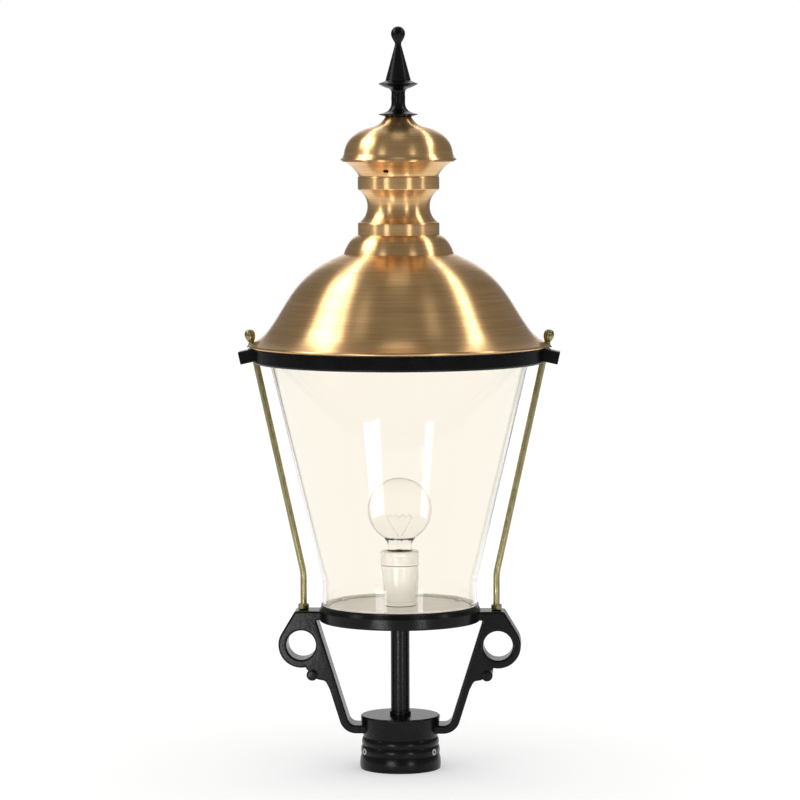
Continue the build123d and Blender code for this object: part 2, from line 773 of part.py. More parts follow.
def neck():
    """Spun chimney neck: a plain band above and below a waist."""
    low_band = shoulder_top + neck_band_height
    high_band = neck_top - neck_band_height
    waist = (neck_waist_radius, shoulder_top + neck_waist_height)
    step = neck_band_radius - neck_step
    rise = (high_band - low_band) * neck_quarter
    quarter = neck_waist_radius + (step - neck_waist_radius) * neck_quarter_bow
    upper = Polyline((neck_opening_radius, neck_top), (neck_band_radius, neck_top),
                     (neck_band_radius, high_band), (step, high_band - neck_step / 2))
    curve = Spline((step, high_band - neck_step / 2), (quarter, high_band - rise), waist,
                   (quarter, low_band + rise), (step, low_band + neck_step / 2))
    lower = Polyline((step, low_band + neck_step / 2), (neck_band_radius, low_band),
                     (neck_band_radius, shoulder_top))
    return spun(upper + curve + lower, copper_wall, Side.RIGHT)


def cap_skirt():
    """Spun flare under the cap, with small vents that let the warm air out."""
    spread = skirt_top_radius - neck_band_radius
    points = [(neck_band_radius + spread * out, neck_top + (skirt_height - copper_wall) * up)
              for out, up in skirt_flare]
    flat = Line((neck_opening_radius, neck_top), points[0])
    lip = Line(points[-1], (points[-1][0] + skirt_lip, points[-1][1]))
    skirt = spun(flat + Spline(points) + lip, copper_wall, Side.LEFT)
    vent = extrude(SlotOverall(vent_width, vent_height), skirt_top_radius)
    for index in range(vent_count):
        angle = -90 + vent_turn + index * 360 / vent_count
        place = Pos(0, 0, neck_top + vent_rise) * Rot(0, 0, angle)
        skirt -= place * Rot(0, 90, 0) * Rot(0, 0, 90) * vent
    return skirt


def cap_dome():
    """Spun mushroom cap with a sharp brim and a small neck under the finial."""
    points = [(cap_top_radius + (cap_shoulder_radius - cap_top_radius) * out, cap_top - cap_height * down)
              for out, down in cap_bow]
    flat = Line((tie_radius + tie_clearance, cap_top), points[0])
    brim = Polyline(points[-1], (cap_shoulder_radius + cap_flick, skirt_top + cap_brim_rise),
                    (cap_brim_radius, skirt_top + cap_brim_edge), (cap_brim_radius, skirt_top))
    return spun(flat + Spline(points) + brim, copper_wall, Side.RIGHT)


def finial():
    """Cast finial: two discs on a waisted spindle, a tall cone and a pear-shaped ball."""
    lower = cap_top + finial_disc_height
    upper = cap_top + finial_upper_disc_height
    cone = cap_top + finial_cone_height
    throat = cap_top + finial_neck_height
    top = cap_top + finial_height
    edge = upper - finial_disc_edge
    spread = finial_disc_radius - finial_spindle_radius
    foot = Polyline((tie_radius, cap_top), (finial_foot_radius, cap_top),
                    (finial_disc_radius, lower - finial_disc_edge), (finial_disc_radius, lower))
    spindle = Spline([(finial_spindle_radius + spread * out, lower + (edge - lower) * up)
                      for out, up in finial_spindle_bow])
    saucer = Polyline((finial_disc_radius, edge), (finial_disc_radius, upper),
                      (finial_cone_radius, cone - finial_cone_edge), (finial_cone_radius, cone),
                      (finial_neck_radius, throat))
    sides = [(finial_ball_radius * out, throat + (top - throat) * up) for out, up in finial_ball_bow]
    ball = Spline([(finial_neck_radius, throat)] + sides + [(0, top)],
                  tangents=((finial_ball_flare, 1), (-1, 0)))
    middle = Polyline((0, top), (0, cap_top + finial_bore_depth),
                      (tie_radius, cap_top + finial_bore_depth), (tie_radius, cap_top))
    return turned(foot + spindle + saucer + ball + middle)


def tie_rod():
    """Rod through the chimney that pulls finial, cap, neck and shoulder down on the hood."""
    bottom = hood_top - copper_wall - bridge_thickness - tie_nut_height - tie_stand_out
    return Pos(0, 0, bottom) * Cylinder(tie_radius, cap_top + tie_engagement - bottom, align=UPRIGHT)


def bridge_bar():
    """Flat bar across the hood's opening, under its top face."""
    bar = Box(2 * bridge_half_length, bridge_width, bridge_thickness, align=HANGING)
    bar = fillet(bar.edges().filter_by(Axis.Z), bridge_width / 4)
    bar -= Cylinder(tie_radius + tie_clearance, bridge_thickness, align=HANGING)
    return Pos(0, 0, hood_top - copper_wall) * bar


def tie_nut():
    """Nut under the bridge bar."""
    nut = hex_nut(tie_nut_width, tie_nut_height, tie_radius, nut_edge)
    return Pos(0, 0, hood_top - copper_wall - bridge_thickness - tie_nut_height) * nut


parts = {
    "post_collar": post_collar(),
    "set_screw_rear": set_screw(0),
    "set_screw_left": set_screw(1),
    "set_screw_right": set_screw(2),
    "stem_tube": stem_tube(),
    "stem_foot_ring": stem_foot_ring(),
    "stem_locknut": Pos(0, 0, plate_bottom - stem_nut_height) * hex_nut(
        stem_nut_width, stem_nut_height, stem_radius, nut_edge),
    "stem_top_nut": Pos(0, 0, plate_top) * hex_nut(
        stem_top_nut_width, stem_top_nut_height, stem_radius, nut_edge),
    "yoke_arm_right": yoke_arm(),
    "yoke_arm_left": left_of(yoke_arm()),
    "seat_ring": seat_ring(),
    "base_plate": base_plate(),
    "base_plate_screws": plate_screws(),
    "glass_foot_gasket": foot_gasket(),
    "glass_body": glass_body(),
    "glass_rim_gasket": top_gasket(),
    "top_ring": top_ring(),
    "rod_right": rod(),
    "rod_left": left_of(rod()),
    "lug_washers": Compound([lug_washer(), left_of(lug_washer())]),
    "rod_foot_nuts": Compound([foot_nut(), left_of(foot_nut())]),
    "holder_base": holder_base(),
    "holder_body": holder_body(),
    "holder_ring": holder_ring(),
    "holder_screw_shell": screw_shell(),
    "holder_contact": holder_contact(),
    "bulb_cap": bulb_cap(),
    "bulb_tip": bulb_tip(),
    "bulb_globe": bulb_globe(),
    "bulb_mount": bulb_mount(),
    "bulb_filament": bulb_filament(),
    "hood_gasket": hood_gasket(),
    "rim_stiffener": rim_stiffener(),
    "hood_shell": hood_shell(),
    "hood_bushes": Compound([hood_bush(), left_of(hood_bush())]),
    "thumb_washers": Compound([thumb_washer(), left_of(thumb_washer())]),
    "thumb_screw_right": thumb_screw(),
    "thumb_screw_left": left_of(thumb_screw()),
    "hood_shoulder": shoulder(),
    "chimney_neck": neck(),
    "cap_skirt": cap_skirt(),
    "cap_dome": cap_dome(),
    "finial": finial(),
    "tie_rod": tie_rod(),
    "bridge_bar": bridge_bar(),
    "tie_nut": tie_nut(),
}

os.makedirs("parts", exist_ok=True)
for name, shape in parts.items():
    export_step(shape, f"parts/{name}.step")
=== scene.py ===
import math

import bmesh
import bpy
import numpy as np
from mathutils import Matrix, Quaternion, Vector


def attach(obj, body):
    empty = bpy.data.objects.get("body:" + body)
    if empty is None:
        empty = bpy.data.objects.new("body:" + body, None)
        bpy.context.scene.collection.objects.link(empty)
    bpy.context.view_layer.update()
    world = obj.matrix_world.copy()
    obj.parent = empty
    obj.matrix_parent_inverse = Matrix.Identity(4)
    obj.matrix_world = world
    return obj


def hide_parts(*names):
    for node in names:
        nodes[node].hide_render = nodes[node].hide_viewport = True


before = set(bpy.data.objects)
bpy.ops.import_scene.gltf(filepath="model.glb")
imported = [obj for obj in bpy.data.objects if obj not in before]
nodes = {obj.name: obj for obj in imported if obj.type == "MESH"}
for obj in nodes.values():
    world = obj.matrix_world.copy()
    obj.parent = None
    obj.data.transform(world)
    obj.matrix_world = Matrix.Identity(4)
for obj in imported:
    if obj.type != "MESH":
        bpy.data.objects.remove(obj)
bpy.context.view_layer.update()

# ---- Camera: level with the hood's top, a long lens, looking slightly down ------------------
# It stands a little to the right of the lantern's front, as the two arms' uneven widths show.
camera_bearing = math.radians(2.9)
camera_distance = 4.40
camera_height = 0.80
aim = Vector((0.0009, 0.0, 0.4622))
camera_roll = math.radians(-0.20)

camera_data = bpy.data.cameras.new("camera")
camera_data.sensor_width = 36.0
camera_data.lens = 159.4
camera = bpy.data.objects.new("camera", camera_data)
camera.location = (camera_distance * math.sin(camera_bearing),
                   -camera_distance * math.cos(camera_bearing), camera_height)
camera.rotation_euler = ((aim - camera.location).to_track_quat("-Z", "Y")
                         @ Quaternion((0, 0, 1), camera_roll)).to_euler()
bpy.context.scene.collection.objects.link(camera)
bpy.context.scene.camera = camera
bpy.context.scene.view_settings.view_transform = "Standard"


# ---- Studio: white surroundings, a pale floor and a dim dome that only mirrors show ----------
# The dome leaves a gap at the back; it keeps the copper and the black castings deep, as a dark
# studio does, while the floor and the white surroundings light the lantern evenly.
def light_path_white(tree):
    """1 for camera, glossy and transmission rays, 0 for the rest."""
    path = tree.nodes.new("ShaderNodeLightPath")
    first = tree.nodes.new("ShaderNodeMath")
    first.operation = "ADD"
    tree.links.new(path.outputs["Is Camera Ray"], first.inputs[0])
    tree.links.new(path.outputs["Is Glossy Ray"], first.inputs[1])
    second = tree.nodes.new("ShaderNodeMath")
    second.operation = "ADD"
    second.use_clamp = True
    tree.links.new(first.outputs[0], second.inputs[0])
    tree.links.new(path.outputs["Is Transmission Ray"], second.inputs[1])
    return second.outputs[0]


world = bpy.data.worlds.new("studio")
world.use_nodes = True
bpy.context.scene.world = world
world_tree = world.node_tree
world_tree.nodes["Background"].inputs["Strength"].default_value = 1.0
world_tree.nodes["Background"].inputs["Color"].default_value = (1.0, 1.0, 1.0, 1.0)

floor_half = 9.0
floor_mesh = bpy.data.meshes.new("floor")
floor_mesh.from_pydata([(-floor_half, -floor_half, 0), (floor_half, -floor_half, 0),
                        (floor_half, floor_half, 0), (-floor_half, floor_half, 0)], [], [(0, 1, 2, 3)])
floor = bpy.data.objects.new("floor", floor_mesh)
bpy.context.scene.collection.objects.link(floor)
floor_material = bpy.data.materials.new("pale_floor")
floor_material.use_nodes = True
floor_tree = floor_material.node_tree
floor_shader = floor_tree.nodes["Principled BSDF"]
floor_shader.inputs["Base Color"].default_value = (0.86, 0.86, 0.86, 1.0)
floor_shader.inputs["Roughness"].default_value = 0.9
floor_shader.inputs["Specular IOR Level"].default_value = 0.0
floor_shader.inputs["Emission Color"].default_value = (1.0, 1.0, 1.0, 1.0)
floor_glow = floor_tree.nodes.new("ShaderNodeMath")
floor_glow.operation = "MULTIPLY"
floor_glow.inputs[1].default_value = 0.20
floor_tree.links.new(light_path_white(floor_tree), floor_glow.inputs[0])
floor_tree.links.new(floor_glow.outputs[0], floor_shader.inputs["Emission Strength"])
floor_mesh.materials.append(floor_material)

screen_radius = 2.6
screen_level = 0.22
screen_half_angle = math.radians(164)
screen_columns, screen_rows = 97, 25
bearing, lift = np.meshgrid(np.linspace(-screen_half_angle, screen_half_angle, screen_columns),
                            np.linspace(0.0, math.radians(84), screen_rows), indexing="ij")
screen_points = np.stack([screen_radius * np.sin(bearing + camera_bearing) * np.cos(lift),
                          -screen_radius * np.cos(bearing + camera_bearing) * np.cos(lift),
                          screen_radius * np.sin(lift)], -1).reshape(-1, 3)
corner = (np.arange(screen_columns - 1)[:, None] * screen_rows + np.arange(screen_rows - 1)[None, :]).ravel()
screen_mesh = bpy.data.meshes.new("screen")
screen_mesh.from_pydata(screen_points.tolist(), [],
                        np.stack([corner, corner + screen_rows, corner + screen_rows + 1, corner + 1],
                                 -1).tolist())
screen = bpy.data.objects.new("screen", screen_mesh)
bpy.context.scene.collection.objects.link(screen)


def glow_in_mirrors(stand, level):
    """Makes a stage object glow evenly at a level, seen in mirroring surfaces only."""
    material = bpy.data.materials.new(stand.name)
    material.use_nodes = True
    shader = material.node_tree.nodes["Principled BSDF"]
    shader.inputs["Base Color"].default_value = (0.0, 0.0, 0.0, 1.0)
    shader.inputs["Specular IOR Level"].default_value = 0.0
    shader.inputs["Emission Color"].default_value = (1.0, 0.99, 0.97, 1.0)
    shader.inputs["Emission Strength"].default_value = level
    stand.data.materials.append(material)
    stand.visible_camera = False
    stand.visible_transmission = False
    stand.visible_diffuse = False
    stand.visible_shadow = False


glow_in_mirrors(screen, screen_level)


# ---- Lights: two pairs of upright strips near the camera's line and two glowing ribbons ------
# The low strips leave the two bands in the glass, the upper ones those on the upright copper; the
# ribbons leave the outer highlights that run down the hood.
strip_distance = 0.62


def strip_light(name, bearing_degrees, low, high, width, power):
    """Upright strip between two heights that faces the lantern's axis, its bearing taken from the
    camera's line and its power given for a square metre."""
    data = bpy.data.lights.new(name, "AREA")
    data.shape = "RECTANGLE"
    data.size = width
    data.size_y = high - low
    data.energy = power * width * (high - low)
    strip = bpy.data.objects.new(name, data)
    angle = math.radians(bearing_degrees) + camera_bearing
    strip.location = (strip_distance * math.sin(angle), -strip_distance * math.cos(angle), (low + high) / 2)
    facing = Vector((-strip.location.x, -strip.location.y, 0.0))
    strip.rotation_euler = facing.to_track_quat("-Z", "Y").to_euler()
    strip.visible_camera = False
    strip.visible_diffuse = False
    bpy.context.scene.collection.objects.link(strip)


strip_light("strip_low_left", -26.0, 0.01, 0.165, 0.165, 30.0)
strip_light("strip_low_right", 28.5, 0.01, 0.165, 0.080, 30.0)
strip_light("strip_high_left", -33.0, 0.64, 0.90, 0.120, 9.0)
strip_light("strip_high_right", 29.0, 0.64, 0.90, 0.110, 9.0)


ribbon_steps = 60
ribbon_distance = 1.6
ribbon_middle = np.array((0.0, 0.0, 0.6))
way_to_camera = np.array((math.sin(camera_bearing), -math.cos(camera_bearing), 0.045))


def ribbon(name, bearing_degrees, rises, half_widths, level):
    """Ribbon that a wall with normal n mirrors to the camera, v being the way to the camera:
    middle + distance x (2 (n.v) n - v), for n at a bearing and over a span of rises in degrees."""
    rise = np.radians(np.linspace(rises[0], rises[-1], ribbon_steps))
    half = np.interp(rise, np.radians(rises), half_widths)
    edges = []
    for way in (-1, 1):
        turn = np.radians(bearing_degrees + way * half) + camera_bearing
        normal = np.stack([np.sin(turn) * np.cos(rise), -np.cos(turn) * np.cos(rise), np.sin(rise)], -1)
        mirrored_ray = 2 * (normal @ way_to_camera)[:, None] * normal - way_to_camera
        edges.append(ribbon_middle + ribbon_distance * mirrored_ray)
    mesh = bpy.data.meshes.new(name)
    start = np.arange(ribbon_steps - 1)
    faces = np.stack([start, start + 1, start + ribbon_steps + 1, start + ribbon_steps], -1)
    mesh.from_pydata(np.vstack(edges).tolist(), [], faces.tolist())
    glow = bpy.data.objects.new(name, mesh)
    bpy.context.scene.collection.objects.link(glow)
    glow_in_mirrors(glow, level)


ribbon("ribbon_left", -34.5, (8, 22, 28, 39, 46, 58, 72), (1.5, 2.5, 9.0, 8.5, 3.5, 2.0, 1.0), 5.0)
ribbon("ribbon_right", 35.0, (8, 24, 30, 38, 46, 58, 72), (1.2, 1.8, 3.5, 3.0, 1.8, 1.4, 0.8), 5.0)


# ---- Post collar: cast iron, black gloss enamel ----------------------------------------------
# Turned outline with three cast beads over a blind socket; the arms are cast on. Sizes in
# millimetres, as for every piece below, brought to metres when the mesh is made.
MM = 0.001


def rounded(corners, steps=6, closed=True):
    """Polygon of (across, up, radius) corners with each corner turned into an arc.
    The arc runs between the two tangent points, a radius over the half angle's tangent away."""
    given = np.array([(c[0], c[1], c[2] if len(c) > 2 else 0.0) for c in corners], float)
    point, radius = given[:, :2], given[:, 2].copy()
    if not closed:
        radius[[0, -1]] = 0.0
    back = np.roll(point, 1, 0) - point
    ahead = np.roll(point, -1, 0) - point
    back /= np.linalg.norm(back, axis=1, keepdims=True)
    ahead /= np.linalg.norm(ahead, axis=1, keepdims=True)
    half = np.arccos(np.clip((back * ahead).sum(1), -1, 1)) / 2
    middle = back + ahead
    middle /= np.maximum(np.linalg.norm(middle, axis=1, keepdims=True), 1e-9)
    centre = point + middle * (radius / np.sin(half))[:, None]
    reach = (radius / np.tan(half))[:, None]
    first, last = point + back * reach - centre, point + ahead * reach - centre
    sweep = np.maximum(math.pi - 2 * half, 1e-6)[:, None, None]
    share = np.linspace(0, 1, steps)[None, :, None]
    fan = (np.sin((1 - share) * sweep) * first[:, None] + np.sin(share * sweep) * last[:, None])
    path = (centre[:, None] + fan / np.sin(sweep)).reshape(-1, 2)
    step = np.linalg.norm(np.diff(path, axis=0, append=path[:1]), axis=1)
    if not closed:
        step[-1] = 1.0
    return path[step > 1e-4]


def flowing(points, count=40):
    """Smooth line through points: each coordinate is a natural cubic spline of the chord length."""
    points = np.asarray(points, float)
    knot = np.concatenate([[0], np.cumsum(np.linalg.norm(np.diff(points, axis=0), axis=1))])
    gap = np.diff(knot)
    size = len(points)
    system = np.eye(size)
    inner = np.arange(1, size - 1)
    system[inner, inner - 1] = gap[:-1]
    system[inner, inner] = 2 * (gap[:-1] + gap[1:])
    system[inner, inner + 1] = gap[1:]
    slope = np.diff(points, axis=0) / gap[:, None]
    right = np.zeros_like(points)
    right[1:-1] = 6 * np.diff(slope, axis=0)
    bend = np.linalg.solve(system, right)
    place = np.linspace(0, knot[-1], count)
    cell = np.clip(np.searchsorted(knot, place, "right") - 1, 0, size - 2)
    near, far = (place - knot[cell])[:, None], (knot[cell + 1] - place)[:, None]
    width = gap[cell][:, None]
    return (bend[cell] * far**3 / (6 * width) + bend[cell + 1] * near**3 / (6 * width)
            + (points[cell] / width - bend[cell] * width / 6) * far
            + (points[cell + 1] / width - bend[cell + 1] * width / 6) * near)


def upright(direction=(0.0, 0.0, 1.0), origin=(0.0, 0.0, 0.0)):
    """Turning frame: origin and three unit vectors, the last one along the turning axis."""
    axis = np.array(direction, float) / np.linalg.norm(direction)
    side = np.cross((0.0, 1.0, 0.0), axis)
    side /= np.linalg.norm(side)
    return np.array(origin, float), side, np.cross(axis, side), axis


def add_piece(name, points, faces, material, body, slot, replaced=(), sharp=40.0, run=None):
    """Mesh object in metres with smooth faces, sharp where they turn by more than an angle."""
    mesh = bpy.data.meshes.new(name)
    mesh.from_pydata((np.asarray(points) * MM).tolist(), [], faces)
    if run is not None:
        along_profile = mesh.attributes.new("run", "FLOAT", "POINT")
        along_profile.data.foreach_set("value", (run * MM).astype(np.float32))
    piece = bpy.data.objects.new(name, mesh)
    bpy.context.scene.collection.objects.link(piece)
    close_up(piece, sharp)
    mesh.materials.append(material)
    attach(piece, body)
    if replaced:
        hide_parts(*replaced)
    return piece


def close_up(piece, sharp):
    """Merges doubled points, points the faces outwards and marks the sharp edges."""
    work = bmesh.new()
    work.from_mesh(piece.data)
    bmesh.ops.remove_doubles(work, verts=work.verts, dist=2e-6)
    bmesh.ops.dissolve_degenerate(work, edges=work.edges, dist=1e-7)
    bmesh.ops.recalc_face_normals(work, faces=work.faces)
    work.to_mesh(piece.data)
    work.free()
    piece.data.shade_smooth()
    piece.data.set_sharp_from_angle(angle=math.radians(sharp))
    weigh = piece.modifiers.new("even_shading", "WEIGHTED_NORMAL")
    weigh.keep_sharp = True


def turned_grid(outline, turns, frame_of_axis, lobes=None):
    """Closed outline of (radius, height) carried round an axis:
    point = origin + side r cos a + across r sin a + axis h, with r scaled by lobes(a, h)."""
    origin, side, across, axis = frame_of_axis
    angle = np.linspace(0, 2 * math.pi, turns, endpoint=False)[None, :]
    radius, height = outline[:, :1], outline[:, 1:]
    radius = radius * np.ones_like(angle) if lobes is None else radius * lobes(angle, height)
    points = (origin + (radius * np.cos(angle))[..., None] * side
              + (radius * np.sin(angle))[..., None] * across
              + (height * np.ones_like(angle))[..., None] * axis)
    row = np.arange(len(outline))[:, None]
    column = np.arange(turns)[None, :]
    below, beside = (row + 1) % len(outline), (column + 1) % turns
    faces = np.stack([row * turns + column, below * turns + column,
                      below * turns + beside, row * turns + beside], -1)
    on_axis = outline[:, 0] < 1e-6
    faces = faces[~(on_axis & np.roll(on_axis, -1))]
    run = np.cumsum(np.linalg.norm(np.diff(outline, axis=0, prepend=outline[:1]), axis=1))
    return points.reshape(-1, 3), faces.reshape(-1, 4).tolist(), np.repeat(run, turns)


def turned(name, outline, material, body, slot, replaced=(), turns=144, about=None, lobes=None, sharp=40.0):
    """Turned piece: see turned_grid."""
    points, faces, run = turned_grid(np.asarray(outline, float), turns, about or upright(), lobes)
    return add_piece(name, points, faces, material, body, slot, replaced, sharp, run)


def plain_finish(name, colour, roughness, metallic=0.0):
    """Material with the plain values of its principled shader set; returns it with its tree."""
    material = bpy.data.materials.new(name)
    material.use_nodes = True
    shader = material.node_tree.nodes["Principled BSDF"]
    shader.inputs["Base Color"].default_value = (*colour, 1.0)
    shader.inputs["Roughness"].default_value = roughness
    shader.inputs["Metallic"].default_value = metallic
    return material, material.node_tree, shader


def object_noise(tree, scale, detail=2.0, stretch=None, roughness=0.5):
    """Noise on object coordinates, in features per metre; stretch scales the three axes."""
    place = tree.nodes.new("ShaderNodeTexCoord").outputs["Object"]
    if stretch:
        mapping = tree.nodes.new("ShaderNodeMapping")
        mapping.inputs["Scale"].default_value = stretch
        tree.links.new(place, mapping.inputs["Vector"])
        place = mapping.outputs["Vector"]
    noise = tree.nodes.new("ShaderNodeTexNoise")
    noise.inputs["Scale"].default_value = scale
    noise.inputs["Detail"].default_value = detail
    noise.inputs["Roughness"].default_value = roughness
    tree.links.new(place, noise.inputs["Vector"])
    return noise.outputs["Fac"]


def tinted(tree, shader, value, low_colour, high_colour, low=0.3, high=0.7):
    """Base colour between two colours by a noise value."""
    ramp = tree.nodes.new("ShaderNodeValToRGB")
    ramp.color_ramp.elements[0].position = low
    ramp.color_ramp.elements[0].color = (*low_colour, 1.0)
    ramp.color_ramp.elements[1].position = high
    ramp.color_ramp.elements[1].color = (*high_colour, 1.0)
    tree.links.new(value, ramp.inputs["Fac"])
    tree.links.new(ramp.outputs["Color"], shader.inputs["Base Color"])
    return ramp


def varied(tree, value, socket, low, high):
    """A socket driven between two values by a noise value."""
    span = tree.nodes.new("ShaderNodeMapRange")
    span.inputs["From Min"].default_value = 0.3
    span.inputs["From Max"].default_value = 0.7
    span.inputs["To Min"].default_value = low
    span.inputs["To Max"].default_value = high
    tree.links.new(value, span.inputs["Value"])
    tree.links.new(span.outputs["Result"], socket)


def dented(tree, shader, value, depth, strength=1.0, before=None):
    """Bump of a given depth in metres, laid over an earlier bump if there is one."""
    bump = tree.nodes.new("ShaderNodeBump")
    bump.inputs["Strength"].default_value = strength
    bump.inputs["Distance"].default_value = depth
    tree.links.new(value, bump.inputs["Height"])
    if before:
        tree.links.new(before.outputs["Normal"], bump.inputs["Normal"])
    tree.links.new(bump.outputs["Normal"], shader.inputs["Normal"])
    return bump


enamel, enamel_tree, enamel_shader = plain_finish("black_enamel", (0.003, 0.003, 0.003), 0.20)
enamel_shader.inputs["Specular IOR Level"].default_value = 0.18
enamel_waves = object_noise(enamel_tree, 130.0, 2.0)
enamel_peel = object_noise(enamel_tree, 620.0, 2.0)
tinted(enamel_tree, enamel_shader, object_noise(enamel_tree, 45.0, 4.0),
       (0.002, 0.002, 0.002), (0.005, 0.005, 0.005))
varied(enamel_tree, enamel_peel, enamel_shader.inputs["Roughness"], 0.20, 0.32)
wave_bump = dented(enamel_tree, enamel_shader, enamel_waves, 0.0005, 0.4)
dented(enamel_tree, enamel_shader, enamel_peel, 0.00012, 0.5, wave_bump)

collar_top, collar_shoulder, collar_neck = 67.0, 49.9, 46.2
socket_radius, socket_top = 38.25, 58.0
stem_radius, stem_bore = 11.8, 9.15
bead_joints = (0.0, 18.4, 29.5, 39.2)
bead_foot_radii = (49.9, 48.5, 47.5)
bead_top_radii = (48.8, 47.8, 46.9)
bead_bulges = (1.3, 1.3, 1.2)


def bead(low, high, low_radius, high_radius, bulge, count=13):
    """Cast bead: a straight side between two radii, swelled by a parabola."""
    share = np.linspace(-1, 1, count)
    return np.stack([(low_radius + high_radius) / 2 + (high_radius - low_radius) / 2 * share
                     + bulge * (1 - share**2), (low + high) / 2 + (high - low) / 2 * share], -1)


beads = [bead(*sizes) for sizes in zip(bead_joints, bead_joints[1:], bead_foot_radii, bead_top_radii,
                                       bead_bulges)]
collar_outline = np.vstack([
    [(socket_radius, 0.0)], *beads,
    rounded([(collar_neck, 39.4), (46.5, 40.4, 0.4), (collar_shoulder, collar_top, 2.0),
             (stem_radius, collar_top), (stem_radius, socket_top), (socket_radius, socket_top),
             (socket_radius, 0.0)], 7, closed=False)[:-1]])
collar = turned("collar", collar_outline, enamel, "frame", "black_paint", ["post_collar"], 192)


def cut_through(piece, outline, depths, middle, outwards):
    """The piece with an outline of (sideways, up) cut out of it, between two depths from a middle."""
    sideways = np.cross((0.0, 0.0, 1.0), outwards)
    points = np.vstack([middle + depth * outwards + outline[:, :1] * sideways
                        + outline[:, 1:] * np.array((0.0, 0.0, 1.0)) for depth in depths])
    size = len(outline)
    column = np.arange(size)
    beside = (column + 1) % size
    faces = np.stack([column, beside, beside + size, column + size], -1).tolist()
    faces += [column[::-1].tolist(), (column + size).tolist()]
    mesh = bpy.data.meshes.new("cutter")
    mesh.from_pydata((points * MM).tolist(), [], faces)
    cutter = bpy.data.objects.new("cutter", mesh)
    bpy.context.scene.collection.objects.link(cutter)
    cut = piece.modifiers.new("cut", "BOOLEAN")
    cut.operation = "DIFFERENCE"
    cut.solver = "EXACT"
    cut.object = cutter
    piece.modifiers.move(len(piece.modifiers) - 1, 0)
    evaluated = piece.evaluated_get(bpy.context.evaluated_depsgraph_get())
    with_hole = bpy.data.meshes.new_from_object(evaluated)
    piece.modifiers.remove(cut)
    piece.data = with_hole
    bpy.data.objects.remove(cutter)


screw_hole_radius = 4.0
screw_hole_middle = np.array((0.0, 0.0, 23.5))
screw_hole_depths = (30.0, 60.0)
hole_angle = np.linspace(0, 2 * math.pi, 48, endpoint=False)
hole_outline = screw_hole_radius * np.stack([np.cos(hole_angle), np.sin(hole_angle)], -1)
for turn in np.radians([90.0, 210.0, 330.0]):
    outwards = np.array((math.cos(turn), math.sin(turn), 0.0))
    cut_through(collar, hole_outline, screw_hole_depths, screw_hole_middle, outwards)

# ---- Set screws: zinc-plated steel, three round the collar ------------------------------------
# Headless screws with a hexagon socket, screwed in to grip the post. Their solids are kept, as
# is that of the nut on the stem's top.
steel, steel_tree, steel_shader = plain_finish("zinc_steel", (0.60, 0.60, 0.58), 0.32, 1.0)
tinted(steel_tree, steel_shader, object_noise(steel_tree, 260.0, 4.0),
       (0.48, 0.48, 0.46), (0.68, 0.68, 0.66))
varied(steel_tree, object_noise(steel_tree, 900.0, 3.0), steel_shader.inputs["Roughness"], 0.24, 0.42)


def finish_kept(material, *names):
    """Gives its finish to each solid that is shown as it was packed."""
    for name in names:
        nodes[name].data.materials.clear()
        nodes[name].data.materials.append(material)


finish_kept(steel, "set_screw_rear", "set_screw_left", "set_screw_right", "stem_top_nut")

# ---- Stem: black enamelled steel tube from the collar to the seat ------------------------------
# A plain tube with a low ring at its foot. Nuts under and over the base plate lock it; the
# supply cable comes up inside.
stem_top = 208.5
stem_ring_radius, stem_ring_top = 13.3, 71.5
turned("stem", rounded([(stem_bore, socket_top), (stem_radius, socket_top), (stem_radius, stem_top, 0.6),
                        (stem_bore, stem_top, 0.6)]), enamel, "frame", "black_paint", ["stem_tube"], 96)
turned("stem_ring", rounded([(stem_radius, collar_top), (stem_ring_radius, collar_top),
                             (stem_ring_radius, stem_ring_top, 0.8), (stem_radius, stem_ring_top)]),
       enamel, "frame", "black_paint", ["stem_foot_ring"], 96)

nut_cone_height, nut_cone_start, nut_cone_slope = 1.6, 1.5, 1.6


def nut(width, height, bore, foot):
    """Outline and lobes of a hexagon nut: the wall's radius is the hexagon's, held under a cone at
    both ends, over the corner radius; the outline's last two points are the round bore."""
    corner_radius = width / 2 / math.cos(math.radians(30))
    levels = np.concatenate([np.linspace(0, nut_cone_height, 7),
                             np.linspace(height - nut_cone_height, height, 7)])
    wall = np.stack([np.full(len(levels), corner_radius), foot + levels], -1)

    def lobes(angle, level):
        """Share of the corner radius at an angle and a height."""
        flat = (angle + math.pi / 6) % (math.pi / 3) - math.pi / 6
        end = np.minimum(level - foot, foot + height - level)
        cone = corner_radius - np.maximum(nut_cone_start - end, 0.0) * nut_cone_slope
        scale = np.minimum(width / 2 / np.cos(flat), cone) / corner_radius
        scale[-2:] = 1.0
        return scale
    return np.vstack([wall, [(bore, foot + height), (bore, foot)]]), lobes


locknut_width, locknut_height, locknut_foot = 31.5, 6.0, 195.7
locknut_outline, locknut_lobes = nut(locknut_width, locknut_height, stem_radius, locknut_foot)
turned("stem_locknut", locknut_outline, enamel, "frame", "black_paint", ["stem_locknut"],
       144, lobes=locknut_lobes, sharp=25.0)

# ---- Yoke arms: cast iron straps with ring handles, black gloss enamel -------------------------
# One outline seen from the front (strap, gusset, pearl, handle and the rod's boss) carried across
# the arm's depth, with its edges rounded over as a casting's are; the two arms are alike.
arm_half_depth = 20.0
arm_edge = 2.6
strap_start, strap_underside, strap_top = 28.0, 45.3, 55.7
handle_centre = np.array((122.9, 156.4))
handle_radius, handle_hole_radius = 28.6, 18.4
pearl_centre = np.array((109.2, 119.0))
pearl_radius = 6.8
seat_foot, boss_top, boss_side, boss_inner_side = 186.0, 199.2, 130.5, 92.5
arm_seat = seat_foot + 2.0


def arc_points(centre, radius, start, end, count):
    """Points on a circle between two angles in degrees."""
    angle = np.radians(np.linspace(start, end, count))
    return np.stack([centre[0] + radius * np.cos(angle), centre[1] + radius * np.sin(angle)], -1)


